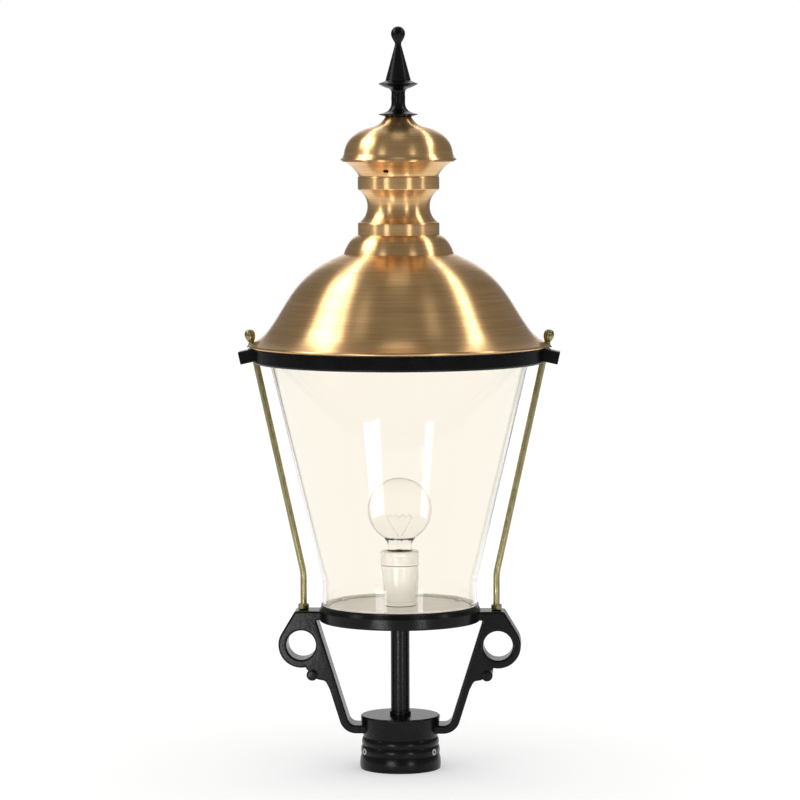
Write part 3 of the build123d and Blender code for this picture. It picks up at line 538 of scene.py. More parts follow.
def evenly(path, spacing, closed=True):
    """The path's points moved to even distances along it."""
    loop = np.vstack([path, path[:1]]) if closed else path
    along = np.concatenate([[0], np.cumsum(np.linalg.norm(np.diff(loop, axis=0), axis=1))])
    count = int(round(along[-1] / spacing))
    place = np.linspace(0, along[-1], count + 1)
    if closed:
        place = place[:-1]
    return np.stack([np.interp(place, along, loop[:, 0]), np.interp(place, along, loop[:, 1])], -1)


def inset(loop, distance):
    """Closed loop moved inwards along the mean of its two edge normals."""
    along = np.roll(loop, -1, 0) - loop
    along /= np.linalg.norm(along, axis=1, keepdims=True)
    normal = np.stack([-along[:, 1], along[:, 0]], -1)
    both = normal + np.roll(normal, 1, 0)
    both /= np.linalg.norm(both, axis=1, keepdims=True)
    reach = distance / np.maximum((both * normal).sum(1, keepdims=True), 0.5)
    return loop + both * reach


def cast_plate(loops, half_depth, edge, frame_of_plate, steps=6):
    """Plate casting: each loop of (across, up) is carried from back to front, drawn in at both
    faces by a quarter round, and the flat faces are filled between the loops."""
    turn = np.linspace(0, math.pi / 2, steps)
    draw = edge * (1 - np.cos(turn))
    depth = half_depth - edge + edge * np.sin(turn)
    draw = np.concatenate([draw[::-1], draw])
    depth = np.concatenate([-depth[::-1], depth])
    origin, across, through, up = frame_of_plate
    work = bmesh.new()
    for loop in loops:
        rings = np.stack([inset(loop, amount) for amount in draw])
        size = len(loop)
        points = (origin + rings[..., :1] * across + rings[..., 1:] * up
                  + depth[:, None, None] * through).reshape(-1, 3)
        strip = bpy.data.meshes.new("strip")
        row, column = np.arange(len(draw) - 1)[:, None], np.arange(size)[None, :]
        beside = (column + 1) % size
        faces = np.stack([row * size + column, row * size + beside, (row + 1) * size + beside,
                          (row + 1) * size + column], -1).reshape(-1, 4)
        strip.from_pydata(points.tolist(), [], faces.tolist())
        work.from_mesh(strip)
    rims = [edge_of for edge_of in work.edges if edge_of.is_boundary]
    front = np.dot(origin, through)
    for side in (-1, 1):
        chosen = [rim for rim in rims
                  if side * (np.dot(rim.verts[0].co, through) - front) > half_depth - 0.01]
        bmesh.ops.triangle_fill(work, use_beauty=True, use_dissolve=False, edges=chosen)
    points = np.array([vertex.co for vertex in work.verts])
    faces = [[vertex.index for vertex in face.verts] for face in work.faces]
    work.free()
    return points, faces


def joined(*meshes):
    """Several (points, faces) made into one."""
    points, faces, start = [], [], 0
    for some_points, some_faces in meshes:
        points.append(some_points)
        faces += [[index + start for index in face] for face in some_faces]
        start += len(some_points)
    return np.vstack(points), faces


def mirrored(points):
    """The same points on the lantern's left side."""
    return points * np.array((-1.0, 1.0, 1.0))


arm_loop = np.vstack([
    rounded([(strap_start, strap_underside), (70.12, strap_underside, 21.2), (87.7, 101.4, 16.0),
             (92.9, 111.4, 6.0), (102.6, 113.1, 2.0), (104.1, 114.6)], 12, closed=False),
    arc_points(pearl_centre, pearl_radius, -137, 42, 24),
    rounded([(114.6, 124.2), (116.3, 126.0, 1.0), (117.6, 128.3)], 6, closed=False),
    arc_points(handle_centre, handle_radius, -99, 28, 70),
    rounded([(148.15, 169.83), (boss_side, boss_top, 5.0), (boss_inner_side, boss_top),
             (boss_inner_side, arm_seat), (103.9, arm_seat, 1.5), (62.48, strap_top, 10.8),
             (strap_start, strap_top)], 12, closed=False)])
arm_loop = evenly(arm_loop, 0.9)
hole_loop = arc_points(handle_centre, handle_hole_radius, 360, 0, 121)[:-1]
arm_frame = (np.zeros(3), np.array((1.0, 0.0, 0.0)), np.array((0.0, 1.0, 0.0)), np.array((0.0, 0.0, 1.0)))
arm_points, arm_faces = cast_plate([arm_loop, hole_loop], arm_half_depth, arm_edge, arm_frame)
pearl_side = rounded([(0.0, 0.0), (pearl_radius, 0.0, 1.5), (7.1, 20.5, 0.8), (5.6, 22.0, 2.5),
                      (0.0, 22.6)], 9)
pearls = [turned_grid(pearl_side, 48, upright((0.0, way, 0.001), (pearl_centre[0], 0.0, pearl_centre[1])))[:2]
          for way in (-1.0, 1.0)]
arm_points, arm_faces = joined((arm_points, arm_faces), *pearls)
add_piece("yoke_arm_on_the_right", arm_points, arm_faces, enamel, "frame", "black_paint",
          ["yoke_arm_right"], 50)
add_piece("yoke_arm_on_the_left", mirrored(arm_points), arm_faces, enamel, "frame", "black_paint",
          ["yoke_arm_left"], 50)

# ---- Seat ring: cast iron, black gloss enamel --------------------------------------------------
# Ring under the glass with a stepped upper edge that catches the light, and a ledge inside.
seat_top, seat_radius, seat_lip_radius, seat_pocket_radius = 206.8, 101.0, 98.6, 97.1
seat_step_foot, seat_step_top = 199.6, 204.3
plate_foot, plate_top, plate_radius = 201.7, 204.7, 88.5
seat_underside_relief, seat_inner_radius, seat_web_foot = 91.5, 79.0, 192.5
turned("seat", rounded([
    (93.5, seat_foot, 0.5), (seat_radius, seat_foot, 2.4), (seat_radius, seat_step_foot, 0.9),
    (98.7, seat_step_top, 0.9), (seat_lip_radius, seat_top, 0.5), (seat_pocket_radius, seat_top, 0.5),
    (seat_pocket_radius, plate_top), (plate_radius, plate_top), (plate_radius, plate_foot),
    (seat_inner_radius, plate_foot), (seat_inner_radius, seat_web_foot),
    (seat_underside_relief, seat_web_foot, 1.0), (seat_underside_relief, arm_seat, 1.0)]),
       enamel, "frame", "black_paint", ["seat_ring"], 240)

# ---- Base plate: steel sheet with a pale satin paint -------------------------------------------
# It closes the seat under the lampholder and is held by three domed screws.
plate_paint, plate_tree, plate_shader = plain_finish("pale_paint", (0.84, 0.83, 0.79), 0.38)
tinted(plate_tree, plate_shader, object_noise(plate_tree, 24.0, 4.0), (0.80, 0.79, 0.75), (0.87, 0.86, 0.82))
dented(plate_tree, plate_shader, object_noise(plate_tree, 900.0, 2.0), 0.00006, 0.4)
turned("plate", rounded([(11.9, plate_foot), (88.4, plate_foot, 0.3), (88.4, plate_top, 0.8),
                         (11.9, plate_top, 0.4)]), plate_paint, "frame", "white_plate", ["base_plate"], 192)
plate_screw_angles = np.radians([30.0, 150.0, 270.0])
plate_screw_reach = 83.6
screw_outline = rounded([(0.0, 201.0), (2.4, 201.0), (2.4, plate_top), (4.0, plate_top), (3.9, 205.7, 0.4),
                         (2.4, 206.9, 1.2), (0.0, 207.1)], 6)
plate_screws = [turned_grid(screw_outline, 32, upright(origin=(
    plate_screw_reach * math.cos(turn), plate_screw_reach * math.sin(turn), 0.0)))[:2]
    for turn in plate_screw_angles]
add_piece("plate_screws", *joined(*plate_screws), steel, "frame", "zinc_steel", ["base_plate_screws"])

# ---- Gaskets: off-white rubber rings under and over the glass and under the hood ---------------
# Flat rings cut from sheet, squeezed a little where they stand proud.
rubber, rubber_tree, rubber_shader = plain_finish("pale_rubber", (0.78, 0.77, 0.73), 0.62)
tinted(rubber_tree, rubber_shader, object_noise(rubber_tree, 120.0, 4.0),
       (0.70, 0.69, 0.65), (0.82, 0.81, 0.77))
dented(rubber_tree, rubber_shader, object_noise(rubber_tree, 1400.0, 2.0), 0.00008, 0.4)
glass_foot, glass_rim = 207.2, 517.7
ring_foot, ring_top, ring_ledge = 508.7, 527.2, 520.2


def gasket(name, inner, outer, low, high, edges, body, replaced):
    """Flat ring of pale rubber; edges are the radii of its outer foot, outer top and inner top."""
    outline = rounded([(inner, low), (outer, low, edges[0]), (outer, high, edges[1]),
                       (inner, high, edges[2])])
    turned(name, outline, rubber, body, "gasket_rubber", [replaced], 144)


gasket("foot_gasket", 89.0, 97.0, plate_top, glass_foot, (0.4, 0.4, 0.9), "frame", "glass_foot_gasket")
gasket("rim_gasket", 158.3, 165.2, glass_rim, ring_ledge, (0.3, 0.3, 0.9), "frame", "glass_rim_gasket")
gasket("hood_seal", 166.0, 174.0, ring_top, 528.7, (0.3, 0.3, 0.3), "hood", "hood_gasket")

# ---- Glass: one clear tapered piece with a straight foot ---------------------------------------
# Clear glass about 3 mm thick with a faint warm tint and slow waves along its height.
clear, clear_tree, clear_shader = plain_finish("clear_glass", (0.962, 0.936, 0.878), 0.0)
clear_shader.inputs["Transmission Weight"].default_value = 1.0
clear_shader.inputs["IOR"].default_value = 1.25
glass_waves = object_noise(clear_tree, 9.0, 2.0, (1.0, 1.0, 0.25))
dented(clear_tree, clear_shader, glass_waves, 0.0012, 0.35)
varied(clear_tree, object_noise(clear_tree, 30.0, 2.0), clear_shader.inputs["Roughness"], 0.0, 0.02)
foot_radius, foot_bore, foot_edge = 96.5, 93.3, 208.2
glass_crease, crease_inside = 236.2, 236.57
glass_outer = rounded([(foot_radius, foot_edge), (foot_radius, glass_crease, 4.0), (163.3, glass_rim)],
                      12, closed=False)
glass_inner = rounded([(160.01, glass_rim), (foot_bore, crease_inside, 7.2), (foot_bore, foot_edge)],
                      12, closed=False)
melted_edge = arc_points((94.9, 208.8), 1.6, 200, 340, 9)
glass_outline = np.vstack([glass_outer, glass_inner, melted_edge])
glass_outline[:, 1] = np.maximum(glass_outline[:, 1], glass_foot)
glass = turned("glass", glass_outline, clear, "frame", "clear_glass", ["glass_body"], 240)
glass.visible_shadow = False

# ---- Top ring: cast, black satin enamel, with a lug on each side -------------------------------
# The ring clamps the glass through its gasket; each lug takes a rod from below and a thumb
# screw from above, and leans with the rod.
lug_origin = np.array((182.6, 0.0, ring_top))
rod_foot = 120.8
rod_bend_height = 245.2
lean = math.atan2(lug_origin[0] - rod_foot, lug_origin[2] - rod_bend_height)
lug_up = np.array((math.sin(lean), 0.0, math.cos(lean)))
lug_out = np.array((math.cos(lean), 0.0, -math.sin(lean)))
lug_frame = (lug_origin, lug_out, np.array((0.0, 1.0, 0.0)), lug_up)

ring_radius, ring_skirt_radius, ring_throat = 180.0, 165.3, 156.0
lug_half_width, lug_foot, lug_side = 14.0, -16.6, 18.5
lug_seat = -0.6
ring_mesh = turned_grid(rounded([
    (ring_skirt_radius, ring_foot, 0.8), (ring_radius, ring_foot, 3.0), (ring_radius, ring_top, 0.9),
    (ring_throat, ring_top, 0.8), (ring_throat, ring_ledge), (ring_skirt_radius, ring_ledge)]),
    288, upright())[:2]
lug_loop = evenly(rounded([(-12.0, lug_foot), (lug_side, lug_foot, 1.0), (lug_side, lug_seat, 1.0),
                           (-3.0, lug_seat), (-12.0, -2.4)], 6), 0.7)
lug_mesh = cast_plate([lug_loop], lug_half_width, 1.5, lug_frame)


def pair(mesh):
    """A mesh and its mirror image on the lantern's left, as one."""
    return joined(mesh, (mirrored(mesh[0]), mesh[1]))


add_piece("top_ring_with_lugs", *joined(ring_mesh, pair(lug_mesh)), enamel, "frame", "black_paint",
          ["top_ring"], 50)
washer_outline = rounded([(5.0, lug_seat), (6.4, lug_seat), (6.4, 0.6, 0.3), (5.0, 0.6, 0.3)], 4)
washer_mesh = turned_grid(washer_outline, 48, upright(lug_up, lug_origin))[:2]
add_piece("lug_rings", *pair(washer_mesh), steel, "frame", "zinc_steel", ["lug_washers"])

# ---- Rods: drawn brass, 8 mm, from the arms up into the lugs -----------------------------------
# Upright at the foot, then bent outwards; a hexagon nut locks each one on its arm.
brass, brass_tree, brass_shader = plain_finish("bright_brass", (0.30, 0.27, 0.14), 0.30, 1.0)
tinted(brass_tree, brass_shader, object_noise(brass_tree, 60.0, 5.0, (4.0, 4.0, 1.0)),
       (0.24, 0.215, 0.10), (0.36, 0.325, 0.17))
varied(brass_tree, object_noise(brass_tree, 300.0, 3.0, (3.0, 3.0, 0.5)),
       brass_shader.inputs["Roughness"], 0.22, 0.40)
dented(brass_tree, brass_shader, object_noise(brass_tree, 700.0, 2.0, (2.0, 2.0, 0.15)), 0.00006, 0.5)
rod_radius = 4.0


def tube(path, radius, turns=32):
    """Round bar along a path in the XZ plane: path + radius (normal cos a + Y sin a), capped by
    drawing both ends in to a point."""
    path = np.asarray(path, float)
    forward = np.gradient(path, axis=0)
    forward /= np.linalg.norm(forward, axis=1, keepdims=True)
    normal = np.stack([forward[:, 1], -forward[:, 0]], -1)
    path = np.vstack([path[:1], path[:1], path, path[-1:], path[-1:]])
    normal = np.vstack([normal[:1], normal[:1], normal, normal[-1:], normal[-1:]])
    reach = np.full(len(path), radius)
    reach[[0, -1]] = 0.0
    reach[[1, -2]] = radius * 0.999
    angle = np.linspace(0, 2 * math.pi, turns, endpoint=False)
    ring = reach[:, None, None] * (np.cos(angle)[None, :, None] * np.stack(
        [normal[:, 0], np.zeros(len(path)), normal[:, 1]], -1)[:, None]
        + np.sin(angle)[None, :, None] * np.array((0.0, 1.0, 0.0)))
    middle = np.stack([path[:, 0], np.zeros(len(path)), path[:, 1]], -1)
    points = (middle[:, None] + ring).reshape(-1, 3)
    row, column = np.arange(len(path) - 1)[:, None], np.arange(turns)[None, :]
    beside = (column + 1) % turns
    faces = np.stack([row * turns + column, row * turns + beside, (row + 1) * turns + beside,
                      (row + 1) * turns + column], -1).reshape(-1, 4)
    return points, faces.tolist()


rod_in_lug = 10.1
rod_top = lug_origin - rod_in_lug * lug_up
rod_path = rounded([(rod_foot, 189.2), (rod_foot, rod_bend_height, 60.0), (rod_top[0], rod_top[2])],
                   16, closed=False)
rod_points, rod_faces = tube(rod_path, rod_radius)
add_piece("brass_rod_right", rod_points, rod_faces, brass, "frame", "brass", ["rod_right"])
add_piece("brass_rod_left", mirrored(rod_points), rod_faces, brass, "frame", "brass", ["rod_left"])
foot_nut_width, foot_nut_height, foot_nut_bore = 13.0, 7.5, 4.05
foot_nut_outline, foot_nut_lobes = nut(foot_nut_width, foot_nut_height, foot_nut_bore, boss_top)
foot_nut = turned_grid(foot_nut_outline, 120, upright(origin=(rod_foot, 0.0, 0.0)), foot_nut_lobes)[:2]
add_piece("rod_nuts", *pair(foot_nut), brass, "frame", "brass", ["rod_foot_nuts"], 25)

# ---- Lampholder: glazed porcelain base, body and screw ring ------------------------------------
# It stands on the base plate over the stem; a dark foot ring shows under it, and the body has
# a rib on its right side.
porcelain, porcelain_tree, porcelain_shader = plain_finish("porcelain", (0.91, 0.90, 0.87), 0.22)
tinted(porcelain_tree, porcelain_shader, object_noise(porcelain_tree, 90.0, 3.0),
       (0.89, 0.88, 0.85), (0.93, 0.92, 0.89))
dented(porcelain_tree, porcelain_shader, object_noise(porcelain_tree, 220.0, 2.0), 0.0002, 0.3)
stand_foot, stand_top, stand_radius, stand_bore = 205.5, 210.2, 20.0, 17.0
cable_hole = 3.5
turned("holder_stand", rounded([
    (stand_bore, stand_foot), (stand_radius, stand_foot, 0.4), (stand_radius, stand_top, 1.0),
    (cable_hole, stand_top), (cable_hole, 208.7), (stand_bore, 208.7)]),
       porcelain, "frame", "porcelain", ["holder_base"], 96)
# Dark ring between the holder's foot and the base plate: a plain dark colour with a little random tone.
dark_ring_finish, dark_ring_tree, dark_ring_shader = plain_finish("dark_foot_ring", (0.10, 0.10, 0.09), 0.8)
tinted(dark_ring_tree, dark_ring_shader, object_noise(dark_ring_tree, 500.0, 4.0), (0.07, 0.07, 0.06), (0.14, 0.14, 0.12))
turned("holder_foot_ring", rounded([(stand_bore, plate_top), (19.6, plate_top), (19.6, stand_foot),
                                    (stand_bore, stand_foot)]), dark_ring_finish, "frame", "gasket_rubber", (), 96)
body_foot_radius, body_top_radius, body_top = 18.6, 23.6, 255.9
body_well, body_well_foot = 14.1, 224.2
holder_mesh = turned_grid(rounded([
    (cable_hole, stand_top), (body_foot_radius, stand_top, 0.8), (body_top_radius, body_top, 0.7),
    (body_well, body_top), (body_well, body_well_foot), (cable_hole, body_well_foot)]), 128, upright())[:2]
rib_loop = evenly(rounded([(19.0, 218.0), (22.4, 218.2, 1.0), (23.8, 248.0, 1.2), (19.0, 248.2)], 6), 0.5)
rib_mesh = cast_plate([rib_loop], 1.6, 0.7, arm_frame)
add_piece("holder_porcelain", *joined(holder_mesh, rib_mesh), porcelain, "frame", "porcelain",
          ["holder_body"])
holder_ring_radius, holder_ring_bore, holder_ring_foot, holder_ring_top = 24.0, 16.5, 256.5, 273.7
holder_grooves = [corner_of_groove for level in (261.0, 268.0) for corner_of_groove in (
    (holder_ring_radius, level, 0.4), (holder_ring_radius - 0.4, level + 0.4, 0.2),
    (holder_ring_radius, level + 0.8, 0.4))]
turned("holder_screw_ring", rounded([
    (holder_ring_bore, holder_ring_foot), (23.4, holder_ring_foot, 0.4), (holder_ring_radius, 257.2, 0.4),
    *holder_grooves, (holder_ring_radius, holder_ring_top, 1.4),
    (holder_ring_bore, holder_ring_top, 0.8)], 5),
       porcelain, "frame", "porcelain", ["holder_ring"], 128)
finish_kept(brass, "holder_screw_shell", "holder_contact")

# ---- Bulb: clear round bulb, 80 mm, with a screw cap --------------------------------------------
# Blown glass on a brass-coloured cap; inside, a drawn glass pillar carries the filament.
bulb_clear, bulb_tree, bulb_shader = plain_finish("bulb_clear_glass", (0.996, 0.990, 0.980), 0.0)
bulb_shader.inputs["Transmission Weight"].default_value = 1.0
bulb_shader.inputs["IOR"].default_value = 1.10
dented(bulb_tree, bulb_shader, object_noise(bulb_tree, 300.0, 3.0), 0.0008, 0.6)
varied(bulb_tree, object_noise(bulb_tree, 80.0, 2.0), bulb_shader.inputs["Roughness"], 0.0, 0.03)
bulb_middle, bulb_radius = 325.2, 40.0
bulb_foot, bulb_cap_radius = 255.2, 13.0


def bulb_side(shrink):
    """Outer side of the bulb from its foot to its top, drawn a given way inside its surface."""
    radius, neck = bulb_radius - shrink, 15.2 - shrink
    foot = bulb_foot + shrink
    start = -math.degrees(math.acos(neck / radius))
    return np.vstack([[(0.0, foot)], rounded(
        [(1.0, foot), (bulb_cap_radius - shrink, foot, 2.0), (neck, 284.0, 12.0),
         tuple(arc_points((0.0, bulb_middle), radius, start + 8, start + 9, 2)[0])], 8, closed=False),
        arc_points((0.0, bulb_middle), radius, start + 9, 89.5, 60), [(0.0, bulb_middle + radius)]])


globe = turned("globe", np.vstack([bulb_side(0.0), bulb_side(1.0)[::-1]]), bulb_clear, "bulb", "bulb_glass",
               ["bulb_globe"], 160)
globe.visible_shadow = False
thread = np.linspace(0, 1, 73)
thread_depth, thread_turns = 0.55, 6
thread_dip = thread_depth * (0.5 - 0.5 * np.cos(2 * math.pi * thread_turns * thread))
cap_side = np.stack([bulb_cap_radius - thread_dip, 232.2 + 21.0 * thread], -1)
turned("bulb_screw_cap", np.vstack([[(0.0, 229.2), (8.0, 229.2)], cap_side,
                                    [(13.2, 254.4), (13.2, bulb_foot), (0.0, bulb_foot)]]),
       brass, "bulb", "zinc_steel", ["bulb_cap"], 96)
turned("bulb_collar", rounded([(15.4, 270.4), (16.3, 270.4, 0.3), (16.3, 274.0, 0.4), (15.4, 274.0, 0.4)], 5),
       brass, "bulb", "brass", (), 96)
finish_kept(steel, "bulb_tip")
turned("pillar", rounded([(0.0, 255.4), (7.0, 255.4, 1.0), (3.6, 264.0, 6.0), (2.4, 288.0, 8.0),
                          (3.4, 292.6, 2.0), (0.0, 295.0)], 8),
       bulb_clear, "bulb", "bulb_glass", ["bulb_mount"], 48)
wire, wire_tree, wire_shader = plain_finish("tungsten", (0.20, 0.17, 0.14), 0.45, 1.0)
tinted(wire_tree, wire_shader, object_noise(wire_tree, 800.0, 3.0), (0.12, 0.10, 0.08), (0.28, 0.24, 0.20))
peaks = np.stack([np.linspace(-13.0, 13.0, 9), 320.6 - 4.0 * (np.arange(9) % 2 == 0)], -1)
wire_path = evenly(np.vstack([[(-0.9, 291.0), (-1.6, 298.0)], peaks, [(1.6, 298.0), (0.9, 291.0)]]),
                   0.5, closed=False)
add_piece("filament_wire", *tube(wire_path, 0.10, 8), wire, "bulb", "zinc_steel", ["bulb_filament"])

# ---- Hood: spun copper, brushed in rings and lacquered ------------------------------------------
# Ogee sheet with a wired rim, spun over a former: its fine lines run round the axis. A ring is
# soldered inside the flare, where the hood stands on its gasket.
copper, copper_tree, copper_shader = plain_finish("spun_copper", (0.78, 0.47, 0.23), 0.30, 1.0)
copper_shader.inputs["Anisotropic"].default_value = 0.90
copper_shader.inputs["Anisotropic Rotation"].default_value = 0.25
ring_direction = copper_tree.nodes.new("ShaderNodeTangent")
ring_direction.direction_type = "RADIAL"
ring_direction.axis = "Z"
copper_tree.links.new(ring_direction.outputs["Tangent"], copper_shader.inputs["Tangent"])


def spun_lines(tree, round_scale, run_scale, detail):
    """Noise drawn out round the axis: x and y are scaled little, the length along the profile a lot."""
    place = tree.nodes.new("ShaderNodeSeparateXYZ")
    tree.links.new(tree.nodes.new("ShaderNodeTexCoord").outputs["Object"], place.inputs["Vector"])
    run = tree.nodes.new("ShaderNodeAttribute")
    run.attribute_name = "run"
    stretched = tree.nodes.new("ShaderNodeCombineXYZ")
    for value, socket, scale in ((place.outputs["X"], "X", round_scale),
                                 (place.outputs["Y"], "Y", round_scale),
                                 (run.outputs["Fac"], "Z", run_scale)):
        times = tree.nodes.new("ShaderNodeMath")
        times.operation = "MULTIPLY"
        times.inputs[1].default_value = scale
        tree.links.new(value, times.inputs[0])
        tree.links.new(times.outputs[0], stretched.inputs[socket])
    noise = tree.nodes.new("ShaderNodeTexNoise")
    noise.inputs["Scale"].default_value = 1.0
    noise.inputs["Detail"].default_value = detail
    noise.inputs["Roughness"].default_value = 0.65
    tree.links.new(stretched.outputs["Vector"], noise.inputs["Vector"])
    return noise.outputs["Fac"]


fine_lines = spun_lines(copper_tree, 12.0, 700.0, 3.0)
broad_lines = spun_lines(copper_tree, 5.0, 120.0, 3.0)
both_lines = copper_tree.nodes.new("ShaderNodeMix")
both_lines.inputs["Factor"].default_value = 0.4
copper_tree.links.new(fine_lines, both_lines.inputs["A"])
copper_tree.links.new(broad_lines, both_lines.inputs["B"])
tinted(copper_tree, copper_shader, both_lines.outputs["Result"],
       (0.66, 0.41, 0.18), (0.90, 0.58, 0.28), 0.34, 0.62)
varied(copper_tree, both_lines.outputs["Result"], copper_shader.inputs["Roughness"], 0.33, 0.27)
dented(copper_tree, copper_shader, fine_lines, 0.00005, 0.35)


def sheet(curve, wall):
    """Closed outline of a sheet: the curve and the same curve moved inwards by the wall."""
    curve = np.asarray(curve, float)
    along = np.gradient(curve, axis=0)
    along /= np.linalg.norm(along, axis=1, keepdims=True)
    return np.vstack([curve, (curve + wall * np.stack([along[:, 1], -along[:, 0]], -1))[::-1]])


hood_top, rim_height, rim_radius, hood_shoulder_radius = 643.2, 530.4, 186.2, 67.3
ogee = np.array(((0.0, 0.0), (0.052, 0.027), (0.117, 0.070), (0.176, 0.125), (0.241, 0.212), (0.360, 0.409),
                 (0.465, 0.581), (0.607, 0.753), (0.770, 0.881), (1.0, 1.0)))
ogee_points = np.stack([rim_radius - (rim_radius - hood_shoulder_radius) * ogee[:, 0],
                        rim_height + (hood_top - rim_height) * ogee[:, 1]], -1)
hood_side = flowing(ogee_points[::-1], 150)
hood_curve = np.vstack([[(56.0, hood_top), (60.0, hood_top), (64.0, hood_top)], hood_side[:-1]])
copper_wall = 1.5
rim_wire_radius = 1.6
hood_outline = sheet(hood_curve, -copper_wall)
rim_bead = arc_points((rim_radius - 1.0, rim_height + 0.1), rim_wire_radius, 60, -200, 14)
hood_outline = np.vstack([hood_curve, rim_bead, hood_outline[len(hood_curve):]])
turned("hood_copper", hood_outline, copper, "hood", "copper", ["hood_shell"], 288, sharp=50)
finish_kept(copper, "rim_stiffener")

# ---- Thumb screws: cast brass, one at each side of the hood's flare ------------------------------
# Egg-shaped fluted heads on plain shanks that pass a brass bush in the hood into the lug.
def flutes(angle, level):
    """Eight shallow flutes that fade towards the neck and the tip."""
    fade = np.clip((level - 8.0) / 4.0, 0, 1) * np.clip((24.5 - level) / 6.0, 0, 1)
    return 1 - 0.07 * fade * (0.5 + 0.5 * np.cos(8 * angle))


shank_radius, shank_foot = 3.0, -5.4
bush_foot, bush_top, washer_top = 1.0, 3.6, 4.6
bush_bore = shank_radius + 0.06
knob_side = np.vstack([
    rounded([(0.0, shank_foot), (2.4, shank_foot), (shank_radius, -4.8), (shank_radius, 4.7), (4.6, 4.7, 0.5),
             (4.6, 6.2, 0.6), (3.5, 7.2, 0.6), (3.7, 8.0)], 5, closed=False),
    flowing([(4.4, 9.2), (5.9, 12.2), (6.8, 16.2), (6.0, 20.2), (3.6, 22.7), (1.2, 23.3)], 30),
    [(0.0, 23.35)]])
knob_points, knob_faces, knob_run = turned_grid(knob_side, 96, upright(lug_up, lug_origin), flutes)
for side_name, side_points in (("right", knob_points), ("left", mirrored(knob_points))):
    add_piece("knob_" + side_name, side_points, knob_faces, brass, "thumb_" + side_name, "brass",
              ["thumb_screw_" + side_name], 40, knob_run)
bush_side = rounded([(bush_bore, bush_foot), (4.4, bush_foot), (4.4, 2.2), (7.0, 2.2, 0.4),
                     (7.0, bush_top, 0.5), (bush_bore, bush_top, 0.2)], 4)
bush_mesh = turned_grid(bush_side, 64, upright(lug_up, lug_origin))[:2]
add_piece("bush_pair", *pair(bush_mesh), brass, "hood", "brass", ["hood_bushes"])
thin_side = rounded([(bush_bore, bush_top), (6.0, bush_top, 0.2), (6.0, washer_top, 0.4),
                     (bush_bore, washer_top, 0.2)], 4)
thin_mesh = turned_grid(thin_side, 64, upright(lug_up, lug_origin))[:2]
add_piece("washer_pair", *pair(thin_mesh), brass, "hood", "brass", ["thumb_washers"])

# ---- Shoulder and chimney neck: spun copper, as the hood ------------------------------------------
# A quarter-round shoulder, then a neck with a plain band above and below a drawn-in waist.
neck_foot, neck_top, band_radius = 667.2, 739.7, 49.3
shoulder_curve = np.vstack([[(40.0, neck_foot), (45.0, neck_foot)], flowing(
    [(band_radius, neck_foot), (56.5, 662.6), (62.3, 655.2), (65.7, 648.2),
     (hood_shoulder_radius, hood_top)], 40)])
turned("shoulder_copper", sheet(shoulder_curve, -copper_wall), copper, "hood", "copper",
       ["hood_shoulder"], 240)
waist = flowing([(46.5, 723.4), (40.9, 716.6), (37.4, 704.2), (40.9, 690.2), (46.5, 683.5)], 48)
neck_curve = np.vstack([
    rounded([(40.0, neck_top), (band_radius, neck_top, 0.9), (band_radius, 724.9, 0.9), (46.9, 724.0, 0.5),
             (46.5, 723.4)], 6, closed=False),
    waist[1:-1],
    rounded([(46.5, 683.5), (46.9, 682.9, 0.5), (band_radius, 682.0, 0.9), (band_radius, neck_foot)],
            6, closed=False)])
turned("neck_copper", sheet(neck_curve, -copper_wall), copper, "hood", "copper", ["chimney_neck"], 240)

# ---- Cap: spun copper skirt with vents under a mushroom cap ---------------------------------------
# The skirt flares out to the cap's sharp brim; three small slots in it let the warm air out.
skirt_top = 758.7
skirt_curve = np.vstack([[(69.4, skirt_top), (68.0, skirt_top)], flowing(
    [(66.4, skirt_top), (58.7, 752.8), (53.6, 747.3), (50.5, 742.7), (band_radius, neck_top)], 40),
    [(45.0, neck_top), (40.0, neck_top)]])
skirt = turned("skirt_copper", sheet(skirt_curve, copper_wall), copper, "hood", "copper", ["cap_skirt"], 240)
vent_end_radius, vent_half_length = 1.8, 1.7
vent_reach, vent_height, vent_depth = 56.0, 747.2, 12.0
slot_outline = np.vstack([arc_points((vent_half_length, 0.0), vent_end_radius, -90, 90, 12),
                          arc_points((-vent_half_length, 0.0), vent_end_radius, 90, 270, 12)])
for turn in np.radians([-104.0, 16.0, 136.0]):
    outwards = np.array((math.cos(turn), math.sin(turn), 0.0))
    vent_middle = outwards * vent_reach + np.array((0.0, 0.0, vent_height))
    cut_through(skirt, slot_outline, (-vent_depth, vent_depth), vent_middle, outwards)
bow = np.array(((0.0, 0.0), (0.06, 0.083), (0.155, 0.172), (0.27, 0.232), (0.45, 0.283), (0.645, 0.360),
                (0.835, 0.496), (0.955, 0.685), (1.0, 0.870)))
cap_top, cap_flat_radius, bow_width, bow_height, brim_radius = 813.2, 14.8, 51.8, 53.0, 70.6
bow_points = np.stack([cap_flat_radius + bow_width * bow[:, 0], cap_top - bow_height * bow[:, 1]], -1)
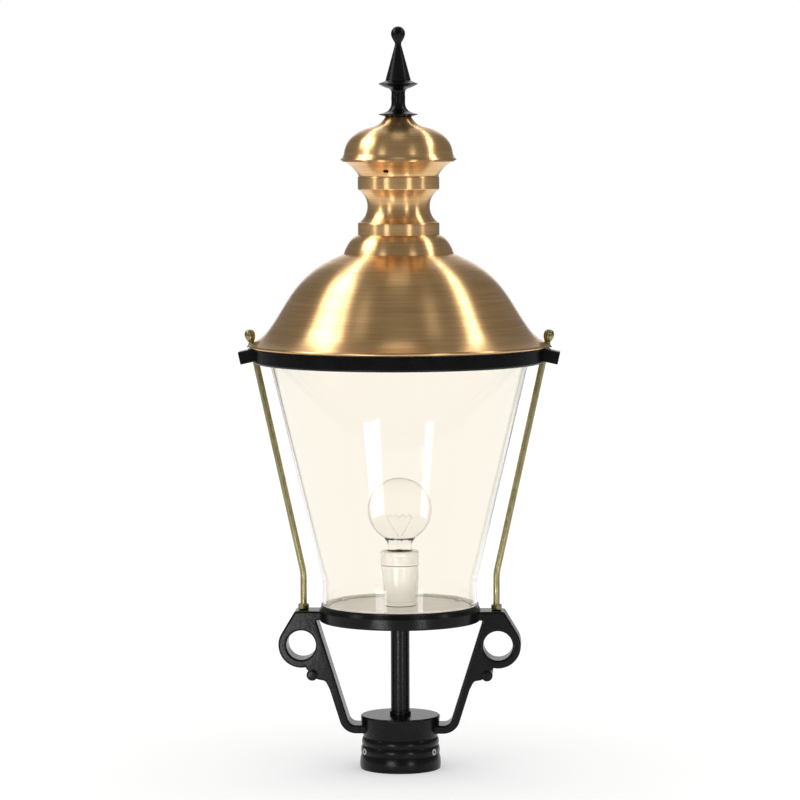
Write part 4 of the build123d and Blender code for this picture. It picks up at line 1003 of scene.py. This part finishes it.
cap_curve = np.vstack([[(4.1, cap_top), (10.0, cap_top)], flowing(bow_points, 110)[:-1],
                       rounded([(66.6, 767.1), (68.0, 763.8, 3.0), (brim_radius, 761.0, 0.5),
                                (brim_radius, 760.2)], 6, closed=False)])
turned("cap_copper", sheet(cap_curve, -copper_wall), copper, "hood", "copper", ["cap_dome"], 240)

# ---- Finial: cast, black gloss enamel --------------------------------------------------------------
# Two thin discs on a waisted spindle, a tall cone and a pear-shaped ball; the tie rod screws in.
spindle = np.array(((1.0, 0.0), (0.254, 0.12), (0.034, 0.26), (0.0, 0.553), (0.056, 0.806), (0.508, 0.894),
                    (1.0, 1.0)))
disc_radius, lower_disc_top, upper_disc_foot, spindle_radius = 24.1, 817.4, 854.1, 8.7
spindle_points = np.stack([spindle_radius + (disc_radius - spindle_radius) * spindle[:, 0],
                           lower_disc_top + (upper_disc_foot - lower_disc_top) * spindle[:, 1]], -1)
cone_radius, cone_foot, cone_top, neck_radius = 15.6, 858.6, 902.9, 3.9
ball_foot, ball_radius, finial_top = (4.1, 905.2), 8.8, 925.4
rod_hole_radius, rod_hole_top = 4.0, 835.2
finial_outline = np.vstack([
    rounded([(rod_hole_radius, cap_top), (14.0, cap_top), (disc_radius, 816.5, 0.5),
             (disc_radius, lower_disc_top, 0.4)], 5, closed=False),
    flowing(spindle_points, 60)[1:-1],
    rounded([(disc_radius, upper_disc_foot, 0.4), (disc_radius, 855.0, 0.4), (cone_radius, cone_foot, 0.8),
             (cone_radius, 859.8, 0.6), (neck_radius, cone_top, 1.5), ball_foot], 6, closed=False),
    flowing([ball_foot, (7.92, 912.2), (ball_radius, 916.6), (6.8, 922.1), (2.6, 925.0), (0.0, finial_top)],
            30)[1:],
    [(0.0, rod_hole_top), (rod_hole_radius, rod_hole_top)]])
turned("finial_casting", finial_outline, enamel, "hood", "black_paint", ["finial"], 96)

# ---- Tie rod, bridge bar and nut: zinc-plated steel inside the chimney ------------------------------
# They pull the finial, cap, neck and shoulder down on the hood; only seen from below.
finish_kept(steel, "tie_rod", "bridge_bar", "tie_nut")
